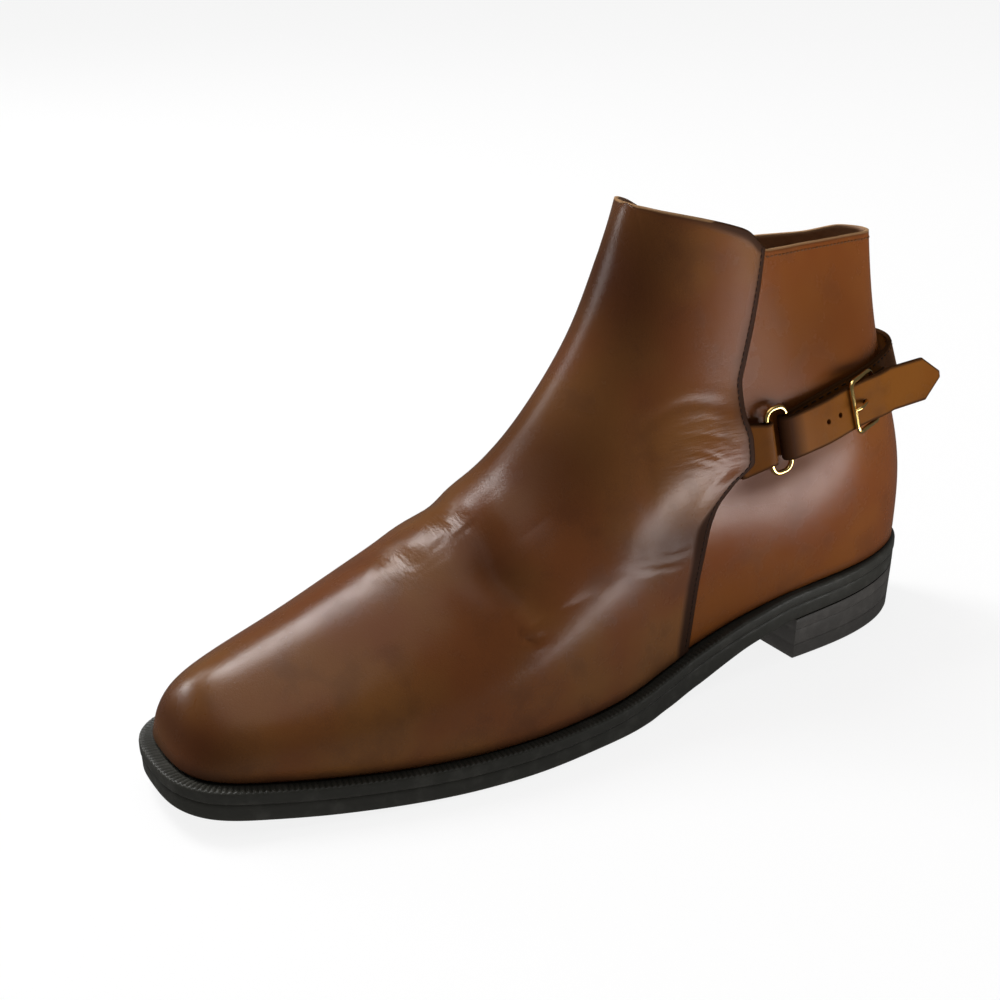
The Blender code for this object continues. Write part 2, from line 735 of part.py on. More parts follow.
def add_ring_tab(skin, leather):
    """Two layers from the rear edge of the vamp, joined by a half turn round the ring's front bar."""
    bars, normal, _ = ring_bars(skin)
    radius = RING_WIRE + GAP + TAB_THICK / 2
    turn, turn_out = half_turn(bars[1], normal, unit(bars[0] - bars[1]), radius)
    stations = np.linspace(TAB_START, bars[1][0] + TURN_LEAD, FOLD_STEPS)
    low = np.linspace(TAB_CLEAR + TAB_THICK / 2, RING_BAR_CLEAR - radius, FOLD_STEPS)
    high = np.linspace(2 * TAB_CLEAR + TAB_THICK * 1.5, RING_BAR_CLEAR + radius, FOLD_STEPS)
    lower, lower_out = skin.outer_side(UNDER_LAYER, stations, low)
    upper, upper_out = skin.outer_side(UNDER_LAYER, stations[::-1], high[::-1])
    middle = np.concatenate([lower, turn, upper])
    outward = np.concatenate([-lower_out, turn_out, upper_out])
    taper = np.linspace(TAB_WIDTH_AT_VAMP, TAB_WIDTH_AT_RING, FOLD_STEPS)
    widths = np.concatenate([taper, np.full(len(turn), TAB_WIDTH_AT_RING), taper[::-1]])
    ribbon("ring_tab", middle, outward, widths, TAB_THICK, leather)


def strap_route(skin):
    """The strap's middle line and outward side: from the vamp's inner edge round the heel, and back."""
    run, normals = skin.route(UNDER_LAYER)
    bars, ring_normal, _ = ring_bars(skin)
    outer = skin.travel >= 0
    loose = ease(1 - run[:, 0] / LOOSE_FROM)
    loose /= loose.max()
    clear = STRAP_CLEAR + STRAP_THICK / 2 + STRAP_LOOSE * loose
    under = run + normals * clear[:, None]
    kept = np.where(outer, run[:, 0] < bars[0][0] - TURN_LEAD, run[:, 0] < STRAP_START)
    under_rows = resample(np.concatenate([under[kept], -normals[kept]], 1), STRAP_SPACING)
    forward = unit(bars[1] - bars[0])
    turn, turn_out = half_turn(bars[0], ring_normal, forward, RING_WIRE + GAP + STRAP_THICK / 2)
    stations = np.arange(TOP_LAYER[-1][0] - 2 * TURN_LEAD, TOP_LAYER[0][0], -FREE_SPACING)
    clearance = along([(row[0], row[2]) for row in TOP_LAYER], stations)
    top, top_out = skin.outer_side(TOP_LAYER, stations, clearance)
    free = resample(np.array([top[-1], STRAP_END]), FREE_SPACING)[1:]
    free_out = np.repeat(top_out[-1:], len(free), 0)
    middle = np.concatenate([under_rows[:, :3], turn, top, free])
    outward = np.concatenate([under_rows[:, 3:], turn_out, top_out, free_out])
    return middle, outward


def cutter_from(guide):
    """A hidden mesh in place of a wire, with its ends closed, for a Boolean to cut with."""
    bpy.context.view_layer.update()
    mesh = bpy.data.meshes.new_from_object(guide.evaluated_get(bpy.context.evaluated_depsgraph_get()))
    shape = bmesh.new()
    shape.from_mesh(mesh)
    bmesh.ops.remove_doubles(shape, verts=shape.verts, dist=0.01 * MM)
    shape.to_mesh(mesh)
    shape.free()
    cutter = bpy.data.objects.new(f"{guide.name}_cutter", mesh)
    cutter.matrix_world = guide.matrix_world
    cutter.hide_render = True
    cutter.display_type = "WIRE"
    CUTTERS.objects.link(cutter)
    bpy.data.objects.remove(guide, do_unlink=True)
    return cutter


def add_strap(skin, leather):
    middle, outward = strap_route(skin)
    from_end = np.linalg.norm(middle - middle[-1], axis=1)
    from_end[: len(middle) // 2] = STRAP_POINT
    share = np.clip(from_end / STRAP_POINT, 0, 1)
    widths = STRAP_POINT_WIDTH + (STRAP_WIDTH - STRAP_POINT_WIDTH) * share
    strap = ribbon("strap", middle, outward, widths, STRAP_THICK, leather)
    guide = add_wire("prong_hole", prong_points(skin), PRONG_HOLE, leather, closed=False)
    cut = strap.modifiers.new("Prong hole", "BOOLEAN")
    cut.operation = "DIFFERENCE"
    cut.solver = "EXACT"
    cut.object = cutter_from(guide)


def buckle_bars(skin):
    """Middle of the buckle's front and rear bar, and the way across the strap."""
    rear_station = BUCKLE_STATION - (BUCKLE_LONG - 2 * BUCKLE_WIRE)
    front_clear = along([(row[0], row[2]) for row in TOP_LAYER], BUCKLE_STATION)[0]
    front_clear += STRAP_THICK / 2 + GAP + BUCKLE_WIRE
    clearance = np.array([front_clear, REAR_BAR_CLEAR])
    bars, normals = skin.outer_side(TOP_LAYER, np.array([BUCKLE_STATION, rear_station]), clearance)
    across = unit(np.cross(bars[1] - bars[0], normals.sum(0)))
    across *= np.sign(across[2])
    return bars, normals, across


def add_buckle_frame(skin, brass):
    bars, _, across = buckle_bars(skin)
    points = rounded_frame(bars, across, BUCKLE_TALL - 2 * BUCKLE_WIRE, BUCKLE_CORNER)
    add_wire("buckle_frame", points, BUCKLE_WIRE, brass, closed=True)


def add_buckle_chape(skin, leather):
    bars, normals, _ = buckle_bars(skin)
    radius = BUCKLE_WIRE + CHAPE_CLEAR + CHAPE_THICK / 2
    forward = unit(bars[0] - bars[1])
    forward = unit(forward - (forward @ normals[1]) * normals[1])
    turn, turn_out = half_turn(bars[1], normals[1], forward, radius)
    stations = np.linspace(bars[1][0] - CHAPE_LONG, bars[1][0] - TURN_LEAD, FOLD_STEPS)
    lower, lower_out = skin.outer_side(TOP_LAYER, stations, REAR_BAR_CLEAR - radius)
    upper, upper_out = skin.outer_side(TOP_LAYER, stations[::-1], REAR_BAR_CLEAR + radius)
    middle = np.concatenate([lower, turn, upper])
    outward = np.concatenate([-lower_out, turn_out, upper_out])
    ribbon("buckle_chape", middle, outward, np.full(len(middle), CHAPE_WIDTH), CHAPE_THICK, leather)


def prong_points(skin):
    """The prong's middle line, from in front of the rear bar up through the strap and over the front bar."""
    prong = np.array(PRONG)
    stations = BUCKLE_STATION - prong[:, 0]
    points, _ = skin.outer_side(TOP_LAYER, stations, prong[:, 1])
    return points


def add_buckle_prong(skin, brass):
    add_wire("buckle_prong", prong_points(skin), PRONG_RADIUS, brass, closed=False)


for old in list(bpy.data.objects):
    bpy.data.objects.remove(old, do_unlink=True)
PARTS = new_collection("monk_strap_chukka_boot")
CUTTERS = new_collection("cutters")
BOOT = bpy.data.objects.new("boot", None)
PARTS.objects.link(BOOT)
TAN = material("tan_leather", (0.24, 0.085, 0.025), 0.38)
CHESTNUT = material("chestnut_leather", (0.16, 0.052, 0.02), 0.38)
BLACK = material("black_leather", (0.02, 0.019, 0.018), 0.5)
RUBBER = material("black_rubber", (0.018, 0.018, 0.018), 0.55)
LINING = material("lining_leather", (0.3, 0.17, 0.08), 0.6)
BRASS = material("brass", (0.72, 0.5, 0.18), 0.25, 1.0)
add_soles(BLACK, RUBBER, LINING)
add_upper(TAN, CHESTNUT)
ANKLE = AnkleSkin()
add_strap(ANKLE, TAN)
add_ring(ANKLE, BRASS)
add_ring_tab(ANKLE, TAN)
add_buckle_frame(ANKLE, BRASS)
add_buckle_chape(ANKLE, TAN)
add_buckle_prong(ANKLE, BRASS)
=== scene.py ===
"""Looks of a left monk strap chukka boot: leather, creases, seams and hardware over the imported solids."""

from collections import namedtuple
from math import radians

import bmesh
import bpy
import numpy as np
from mathutils import Euler, Matrix, Vector


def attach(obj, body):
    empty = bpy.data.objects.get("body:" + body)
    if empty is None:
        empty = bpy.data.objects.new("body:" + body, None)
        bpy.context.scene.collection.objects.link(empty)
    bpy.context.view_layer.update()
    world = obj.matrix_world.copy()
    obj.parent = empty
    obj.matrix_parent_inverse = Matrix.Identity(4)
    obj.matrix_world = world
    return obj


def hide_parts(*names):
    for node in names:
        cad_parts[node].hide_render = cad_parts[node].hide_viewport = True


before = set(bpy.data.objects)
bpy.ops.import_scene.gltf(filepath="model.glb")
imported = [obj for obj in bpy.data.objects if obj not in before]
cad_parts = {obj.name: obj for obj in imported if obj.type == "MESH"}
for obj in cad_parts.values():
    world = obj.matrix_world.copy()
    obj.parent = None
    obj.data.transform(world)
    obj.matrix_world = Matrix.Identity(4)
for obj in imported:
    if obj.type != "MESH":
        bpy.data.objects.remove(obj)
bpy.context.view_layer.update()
MM = 0.001

# Sizes in millimetres, most of them those of the solids. A station is the distance forward from the back
# end of the outsole.
HEEL_CENTRE = 36.0
HEEL_BREAST = 72.0
OUTSOLE_THICK = 6.2
WELT_THICK = 4.4
GAP = 0.3
FEATHER_GAP = 0.65
UPPER_WALL = 2.4
VAMP_THICK = 1.4
VAMP_LIFT = 0.5
HEEL_STEP = 0.5
HEEL_TAPER = 1.6
SOLE_STACK = OUTSOLE_THICK + GAP + WELT_THICK

STRAP_WIDTH = 16.0
STRAP_THICK = 1.8
STRAP_CLEAR = 0.6
STRAP_LOOSE = 4.5
LOOSE_FROM = 27.0
STRAP_START = 101.0
STRAP_POINT = 10.0
STRAP_POINT_WIDTH = 3.0
RING_WIRE = 0.95
RING_TALL = 25.4
RING_CORNER = 3.4
RING_LONG = 10.5
RING_STATION = 86.0
TAB_THICK = 1.0
TAB_CLEAR = 0.1
TAB_START = 101.0
TAB_WIDTH_AT_VAMP = 20.0
TAB_WIDTH_AT_RING = 15.5
RING_BAR_CLEAR = STRAP_CLEAR + STRAP_THICK + GAP + RING_WIRE
BUCKLE_WIRE = 0.9
BUCKLE_TALL = 20.6
BUCKLE_LONG = 16.0
BUCKLE_CORNER = 2.5
BUCKLE_STATION = 53.0
CHAPE_THICK = 0.7
CHAPE_CLEAR = 0.2
CHAPE_WIDTH = 13.0
CHAPE_LONG = 10.0
PRONG_RADIUS = 0.75
EDGE_BAND = 1.3
STRAP_ROW = 1.6
HOLES = (64.7, 58.5, 46.2)
HOLE_RADIUS = 1.0
REAR_BAR_CLEAR = STRAP_CLEAR + STRAP_THICK + 2 * CHAPE_CLEAR + CHAPE_THICK + BUCKLE_WIRE

# Height of the outsole's underside along the foot.
UNDERSIDE = (
    # station, height
    (-20.0, 20.5),
    (0.0, 19.9),
    (40.0, 18.6),
    (72.0, 17.2),
    (92.0, 13.3),
    (118.0, 6.2),
    (145.0, 1.7),
    (170.0, 0.0),
    (215.0, 0.0),
    (260.0, 2.2),
    (308.0, 7.6),
    (330.0, 10.6),
)

# Outline of the sole seen from above, and how far in the upper meets the welt. Offsets from the foot's axis
# are positive on the outer side. The foot's own centre line swings inwards at the toe.
Plan = namedtuple("Plan", "station outer inner centre feather")
PLAN = (
    Plan(0.0, 0.0, 0.0, 0.0, 1.2),
    Plan(6.0, 16.8, -16.8, 0.0, 1.4),
    Plan(30.0, 30.5, -30.3, 0.0, 1.8),
    Plan(62.0, 34.8, -32.5, 0.0, 2.5),
    Plan(90.0, 35.0, -30.4, 0.0, 3.8),
    Plan(101.0, 34.9, -29.6, 0.0, 4.5),
    Plan(111.0, 35.0, -29.3, 0.0, 5.0),
    Plan(123.0, 36.6, -29.8, 0.0, 5.4),
    Plan(131.0, 38.6, -31.0, 0.0, 5.6),
    Plan(137.0, 40.0, -32.0, 0.0, 5.6),
    Plan(142.0, 41.5, -33.0, 0.0, 5.6),
    Plan(147.0, 42.8, -34.2, 0.0, 5.6),
    Plan(154.0, 44.3, -36.2, 0.0, 5.6),
    Plan(172.0, 46.6, -42.0, 0.0, 5.6),
    Plan(195.0, 47.8, -47.8, -0.3, 5.6),
    Plan(225.0, 44.4, -50.2, -1.2, 5.7),
    Plan(255.0, 38.0, -46.2, -2.4, 5.9),
    Plan(282.0, 30.0, -38.0, -3.4, 6.0),
    Plan(299.0, 22.5, -29.5, -3.9, 6.0),
    Plan(306.5, 11.0, -18.0, -4.0, 6.0),
    Plan(308.0, -4.0, -4.0, -4.0, 6.0),
)

# Ribs of the upper, one for each row of the outline, from the welt over the widest point of the wall (side)
# and the shoulder to the top, which is the collar on the first rows and the ridge of the foot on the others.
# A share is of the outline's half width, a shift is in station from the outline's own.
Rib = namedtuple("Rib", "side_share side_high side_shift shoulder_share shoulder_high shoulder_shift "
                        "top_station top_share top_high inner_drop")
RIBS = (
    Rib(1.00, 61, 0.3, 1.00, 112, 14.5, 19.0, 0.00, 151.0, 0.0),
    Rib(0.90, 60, 0.3, 0.71, 112, 13.5, 23.5, 0.46, 151.6, 0.5),
    Rib(0.96, 60, -0.4, 0.74, 112, 7.0, 40.0, 0.40, 152.8, 3.0),
    Rib(0.98, 60, -1.0, 0.76, 113, 1.5, 63.0, 0.50, 154.3, 4.2),
    Rib(0.95, 61, -2.0, 0.80, 114, -3.5, 86.0, 0.64, 156.2, 7.0),
    Rib(0.95, 62, -1.8, 0.80, 115, -4.0, 95.0, 0.665, 163.6, 5.6),
    Rib(0.95, 62, -1.5, 0.79, 116, -4.5, 104.0, 0.645, 167.2, 2.6),
    Rib(0.93, 63, -1.5, 0.73, 117, -3.5, 115.5, 0.50, 170.4, 0.0),
    Rib(0.91, 63, -1.0, 0.655, 117, -4.0, 122.8, 0.285, 172.0, 0.0),
    Rib(0.90, 62, 0.0, 0.59, 117, -4.5, 126.0, 0.00, 172.5, 0.0),
    Rib(0.89, 60, 0.5, 0.555, 112, -5.5, 129.2, 0.00, 162.0, 0.0),
    Rib(0.885, 58, 1.0, 0.55, 106, -5.0, 133.6, 0.00, 149.5, 0.0),
    Rib(0.88, 55, 1.0, 0.555, 98, -4.0, 141.0, 0.00, 134.0, 0.0),
    Rib(0.90, 44, 1.0, 0.60, 78, -2.0, 166.0, 0.00, 102.0, 0.0),
    Rib(0.92, 36, 1.0, 0.63, 62, 0.0, 193.0, 0.00, 81.0, 0.0),
    Rib(0.92, 30, 1.0, 0.63, 50, 1.0, 225.0, 0.00, 65.0, 0.0),
    Rib(0.90, 27, 0.0, 0.61, 42, -2.0, 251.0, 0.00, 54.5, 0.0),
    Rib(0.87, 26, -3.0, 0.57, 38, -6.5, 272.0, 0.00, 47.0, 0.0),
    Rib(0.83, 26, -6.4, 0.53, 36, -11.0, 282.0, 0.00, 43.3, 0.0),
    Rib(0.83, 27, -8.4, 0.53, 36, -13.8, 286.5, 0.00, 41.7, 0.0),
    Rib(1.00, 27, -8.8, 1.00, 36, -14.5, 288.5, 0.00, 41.1, 0.0),
)

# The first row whose top is on the ridge, the first row of the toe and how the ridge falls there. Above
# SHAFT_FROM the two sides grow alike. Past the level STEADY_FROM the curves round the foot never overshoot.
COLLAR_FRONT = 9
TOE_RIBS = 17
TOE_SLOPE = 0.3
SHAFT_FROM, SHAFT_OVER = 80.0, 30.0
STEADY_FROM = 0.55
ROW_SPREAD = 0.7
EDGE_FROM, EDGE_TO = 0.15, 0.6

# Rear edge of the vamp seen from the side.
VAMP_EDGE = (
    # height, station
    (16.0, 121.5),
    (45.0, 119.5),
    (58.0, 116.8),
    (71.0, 112.5),
    (79.0, 105.5),
    (85.0, 97.0),
    (93.0, 97.3),
    (102.0, 99.4),
    (112.0, 99.3),
    (120.0, 97.0),
    (132.0, 93.2),
    (146.0, 89.5),
    (157.0, 87.0),
)

# Middle of the strap seen from the side: the layer next to the boot, and the layer back from the ring.
UNDER_LAYER = (
    # station, height
    (5.0, 100.5),
    (30.0, 99.8),
    (50.0, 97.3),
    (65.0, 94.5),
    (80.0, 91.3),
    (100.0, 89.0),
)
TOP_LAYER = (
    # station, height, clearance of its middle from the boot
    (33.0, 97.3, 8.0),
    (39.0, 96.8, 7.5),
    (45.0, 96.2, 5.9),
    (53.0, 95.0, 4.9),
    (66.0, 92.8, 5.4),
    (79.0, 91.3, 5.8),
)
STRAP_END = (2.0, 27.5, 97.8)
TURN_LEAD = 1.0

# The upper's face round the ankle is read at these levels and shares of the travel (from, to, count).
ANKLE_LEVELS = (0.3, 0.78, 49)
ANKLE_TRAVEL = (-0.42, 0.42, 337)
ANKLE_MIDDLE = (60.0, 0.0, 95.0)
ANKLE_STEP = 3.0

# How much the vamp's columns close up where the creases are, and how its mesh is evened out.
CREASE_COLUMNS = 0.35
RELAX_ROUNDS = 60
RELAX_IN, RELAX_OUT = 0.5, -0.52

# Where the upper's face is faired: the toe past a station and the shaft above a height, but not behind the
# vamp's rear edge or next to the welt. Each zone fades over its own length.
FAIR_REACH = 8.0
FAIR_LIMIT = 2.0
FAIR_CHUNK = 150
FAIR_TOE, FAIR_SHAFT, FAIR_FADE = 246.0, 92.0, 14.0
FAIR_REAR, FAIR_REAR_FADE = 84.0, 10.0
FAIR_WELT_FADE = 8.0
FAIR_SAMPLES_FROM = 66.0
TINY_AREA = 1e-6

# Prong seen from the side of the buckle.
PRONG = (
    # distance behind the front bar, clearance from the boot
    (10.9, 4.4),
    (9.0, 5.1),
    (6.5, 6.8),
    (3.5, 8.3),
    (0.8, 9.1),
    (-1.6, 8.9),
)


def natural_spline(knots, values, wanted):
    """Cubic spline through rows of values, with free ends."""
    knots = np.asarray(knots, float)
    values = np.asarray(values, float)
    wanted = np.asarray(wanted, float)
    count = len(knots)
    step = np.diff(knots)
    table = values.reshape(count, -1)
    system = np.eye(count)
    right = np.zeros_like(table)
    for i in range(1, count - 1):
        system[i, i - 1 : i + 2] = step[i - 1], 2 * (step[i - 1] + step[i]), step[i]
        right[i] = 6 * ((table[i + 1] - table[i]) / step[i] - (table[i] - table[i - 1]) / step[i - 1])
    bend = np.linalg.solve(system, right)
    k = np.clip(np.searchsorted(knots, wanted) - 1, 0, count - 2)
    width = step[k][:, None]
    past = (wanted - knots[k])[:, None]
    left = width - past
    found = (bend[k] * left**3 + bend[k + 1] * past**3) / (6 * width)
    found += (table[k] / width - bend[k] * width / 6) * left
    found += (table[k + 1] / width - bend[k + 1] * width / 6) * past
    return found.reshape((len(wanted),) + values.shape[1:])


def steady_curve(knots, values, wanted):
    """Cubic curve through rows of values that never overshoots them."""
    knots = np.asarray(knots, float)
    values = np.asarray(values, float)
    wanted = np.asarray(wanted, float)
    table = values.reshape(len(knots), -1)
    step = np.diff(knots)[:, None]
    rise = np.diff(table, axis=0) / step
    before, after = 2 * step[1:] + step[:-1], step[1:] + 2 * step[:-1]
    same = rise[:-1] * rise[1:] > 0
    safe_low = np.where(same, rise[:-1], 1.0)
    safe_high = np.where(same, rise[1:], 1.0)
    slope = np.zeros_like(table)
    slope[1:-1] = np.where(same, (before + after) / (before / safe_low + after / safe_high), 0.0)
    slope[0], slope[-1] = rise[0], rise[-1]
    k = np.clip(np.searchsorted(knots, wanted) - 1, 0, len(knots) - 2)
    t = ((wanted - knots[k]) / step[k, 0])[:, None]
    found = (1 + 2 * t) * (1 - t) ** 2 * table[k] + t * (1 - t) ** 2 * step[k] * slope[k]
    found += t * t * (3 - 2 * t) * table[k + 1] + t * t * (t - 1) * step[k] * slope[k + 1]
    return found.reshape((len(wanted),) + values.shape[1:])


def ease(share):
    """A soft step from 0 to 1."""
    share = np.clip(share, 0, 1)
    return share * share * (3 - 2 * share)


def along(table, wanted):
    """Columns of a short table, read at the wanted values of its first column."""
    table = np.asarray(table, float)
    found = steady_curve(table[:, 0], table[:, 1:], np.atleast_1d(wanted))
    return found[:, 0] if table.shape[1] == 2 else found


def underside(station):
    return along(UNDERSIDE, station)


def to_world(points):
    """(station, outward, height) in millimetres to metres in the boot's frame."""
    points = np.asarray(points, float)
    return np.stack([points[..., 1], HEEL_CENTRE - points[..., 0], points[..., 2]], -1) * MM


def unit(vectors):
    return vectors / np.linalg.norm(vectors, axis=-1, keepdims=True)


def run_length(line):
    """Length along a polyline at each of its points."""
    return np.concatenate([[0.0], np.cumsum(np.linalg.norm(np.diff(line[:, :3], axis=0), axis=1))])


def resample(line, spacing):
    """Rows along a polyline at about the given spacing. The first three columns are its points."""
    length = run_length(line)
    wanted = np.linspace(0, length[-1], max(2, int(round(length[-1] / spacing)) + 1))
    return np.stack([np.interp(wanted, length, line[:, k]) for k in range(line.shape[1])], -1)


# Shape of the upper, as in its solid apart from a lower inner collar and a rounder toe.
PLAN_COLUMNS = Plan(*np.array(PLAN).T)
OUTLINE = {
    1: np.stack([PLAN_COLUMNS.station, PLAN_COLUMNS.outer], -1),
    -1: np.stack([PLAN_COLUMNS.station, PLAN_COLUMNS.inner], -1),
}
ROW_STEPS = np.linalg.norm(np.diff(OUTLINE[1], axis=0), axis=1) ** ROW_SPREAD
TRAVEL = np.concatenate([[0.0], np.cumsum(ROW_STEPS)])
TOE_TRAVEL = TRAVEL[-1]
FRONT_TRAVEL = TRAVEL[COLLAR_FRONT]


def round_the_foot(outer, inner, travel, curve):
    """Reads rows given for both sides as one closed loop. Travel is negative on the inner side."""
    loop = np.concatenate([inner[:0:-1], outer, inner[-2::-1]])
    knots = np.concatenate([-TRAVEL[:0:-1], TRAVEL, 2 * TOE_TRAVEL - TRAVEL[-2::-1]])
    return curve(knots, loop, travel)


def outline_at(side, travel, inset):
    """Points of the sole's outline, moved in by the inset (a number or one for each point)."""
    travel = np.asarray(travel, float)
    small = 0.02
    middle, ahead, behind = (
        round_the_foot(OUTLINE[1], OUTLINE[-1], side * travel + shift, natural_spline)
        for shift in (0.0, small, -small)
    )
    run = ahead - behind
    inward = unit(np.stack([run[:, 1], -run[:, 0]], -1))
    moved = middle + inward * np.broadcast_to(inset, travel.shape)[:, None]
    on_axis = np.isclose(travel, 0.0)
    moved[on_axis, 1] = 0.0
    return moved


def rib_points():
    """The four table points of every rib, for each side: welt, side, shoulder and top."""
    ribs = Rib(*np.array(RIBS).T)
    centre = PLAN_COLUMNS.centre
    shaft = np.clip((ribs.shoulder_high - SHAFT_FROM) / SHAFT_OVER, 0, 1)
    points = {}
    for side in (1, -1):
        half = OUTLINE[side][:, 1] - centre
        outer_half = side * (OUTLINE[1][:, 1] - centre)
        station = OUTLINE[side][:, 0]
        foot = outline_at(side, TRAVEL, PLAN_COLUMNS.feather)
        welt = np.stack([foot[:, 0], foot[:, 1], underside(foot[:, 0]) + SOLE_STACK + FEATHER_GAP], -1)
        wall = np.stack([station + ribs.side_shift, centre + ribs.side_share * half, ribs.side_high], -1)
        shoulder_half = half * (1 - shaft) + outer_half * shaft
        out = centre + ribs.shoulder_share * shoulder_half
        shoulder = np.stack([station + ribs.shoulder_shift, out, ribs.shoulder_high], -1)
        drop = ribs.inner_drop if side < 0 else 0.0
        top = np.stack([ribs.top_station, centre + ribs.top_share * outer_half, ribs.top_high - drop], -1)
        points[side] = np.stack([welt, wall, shoulder, top], 1)
    return points


def over_the_toe(rib):
    """A point past the top of a toe rib: on along the ridge, or down the other side, as the rib runs."""
    shoulder, top = rib[2], rib[3]
    ahead = (top - shoulder)[:2]
    crosswise = ahead[1] ** 2 / (ahead @ ahead)
    rise = -TOE_SLOPE * ahead[0] - (top[2] - shoulder[2]) * crosswise
    return np.array([top[0] + ahead[0], top[1] + ahead[1], top[2] + rise])


def rib_curves(levels):
    """Every rib as a smooth curve from the welt (level 0) to the top (level 1)."""
    points = rib_points()
    curves = {1: [], -1: []}
    for row in range(len(PLAN)):
        for side in (1, -1):
            line = points[side][row]
            if row >= TOE_RIBS:
                line = np.concatenate([line, [over_the_toe(line)]])
            elif row >= COLLAR_FRONT:
                line = np.concatenate([line, points[-side][row][2::-1]])
            length = run_length(line)
            curves[side].append(natural_spline(length, line, np.asarray(levels) * length[3]))
    return {side: np.array(curves[side]) for side in curves}


def upper_surface(travel, levels):
    """Points of the upper's outer face. travel has one row for each level, negative on the inner side."""
    curves = rib_curves(levels)
    found = []
    for j, level in enumerate(levels):
        outer, inner = curves[1][:, j], curves[-1][:, j]
        smooth = round_the_foot(outer, inner, travel[j], natural_spline)
        steady = round_the_foot(outer, inner, travel[j], steady_curve)
        share = ease((level - STEADY_FROM) / (1 - STEADY_FROM))
        found.append(smooth * (1 - share) + steady * share)
    return np.array(found)


def vamp_edge_travel(side, levels):
    """Where the vamp's rear edge crosses each level, found on a fine run of the surface."""
    fine = np.linspace(EDGE_FROM, EDGE_TO, 400) * TOE_TRAVEL
    rows = upper_surface([side * fine] * len(levels), levels)
    edge = []
    for row in rows:
        ahead = row[:, 0] - along(VAMP_EDGE, np.clip(row[:, 2], VAMP_EDGE[0][0], VAMP_EDGE[-1][0]))
        edge.append(np.interp(0.0, ahead, fine))
    return np.array(edge)


def relax(points, faces, held):
    """Evens out small waves of a mesh without shrinking it. The held points stay, other edges slide."""
    pairs = np.concatenate([faces[:, (k, (k + 1) % 4)] for k in range(4)])
    pairs = pairs[pairs[:, 0] != pairs[:, 1]]
    edges, count = np.unique(np.sort(pairs, 1), axis=0, return_counts=True)
    rim = np.zeros(len(points), bool)
    rim[edges[count == 1]] = True
    kept = (count == 1) | ~rim[edges].any(1)
    inward = ~kept & (rim[edges].sum(1) == 1)
    first = np.concatenate([edges[kept].ravel(), np.where(rim[edges[inward, 0]], *edges[inward].T[::-1])])
    second = np.concatenate([edges[kept][:, ::-1].ravel(), np.where(rim[edges[inward, 0]], *edges[inward].T)])
    links = np.bincount(first, minlength=len(points))
    number = np.maximum(links, 1)
    free = links > 0
    free[held] = False
    points = points.copy()
    for turn in range(2 * RELAX_ROUNDS):
        sums = [np.bincount(first, points[second, axis], len(points)) for axis in range(3)]
        step = np.stack(sums, -1) / number[:, None] - points
        points[free] += (RELAX_IN if turn % 2 == 0 else RELAX_OUT) * step[free]
    return points


def vertex_normals(points, faces):
    """Unit normals at the points of a mesh, and the share of its area round each point."""
    corners = points[faces]
    flat = np.cross(corners[:, 2] - corners[:, 0], corners[:, 3] - corners[:, 1])
    normals = np.zeros_like(points)
    for k in range(4):
        np.add.at(normals, faces[:, k], flat)
    area = np.maximum(np.linalg.norm(normals, axis=1), 1e-9)
    return normals / area[:, None], area


def fair(points, normals, places, areas):
    """Moves points along their normals on to curved sheets, each fitted to the places round its point."""
    moved = points.copy()
    reach = 3 * FAIR_REACH
    for start in range(0, len(points), FAIR_CHUNK):
        rows = slice(start, start + FAIR_CHUNK)
        normal = normals[rows]
        steep = np.abs(normal[:, 2:]) < 0.7
        side = unit(np.cross(normal, np.where(steep, (0.0, 0.0, 1.0), (1.0, 0.0, 0.0))))
        lowest = points[rows].min(0) - reach
        highest = points[rows].max(0) + reach
        close = ((places > lowest) & (places < highest)).all(1)
        away = places[close] - points[rows, None]
        weight = areas[close] * np.exp(-(away**2).sum(2) / FAIR_REACH**2)
        u = np.einsum("nkc,nc->nk", away, side)
        v = np.einsum("nkc,nc->nk", away, np.cross(normal, side))
        rise = np.einsum("nkc,nc->nk", away, normal)
        terms = np.stack([np.ones_like(u), u, v, u * u, u * v, v * v], -1)
        weighted = (terms * weight[..., None]).transpose(0, 2, 1)
        fitted = np.linalg.solve(weighted @ terms + 1e-9 * np.eye(6), weighted @ rise[..., None])
        moved[rows] += np.clip(fitted[:, 0], -FAIR_LIMIT, FAIR_LIMIT) * normal
    return moved


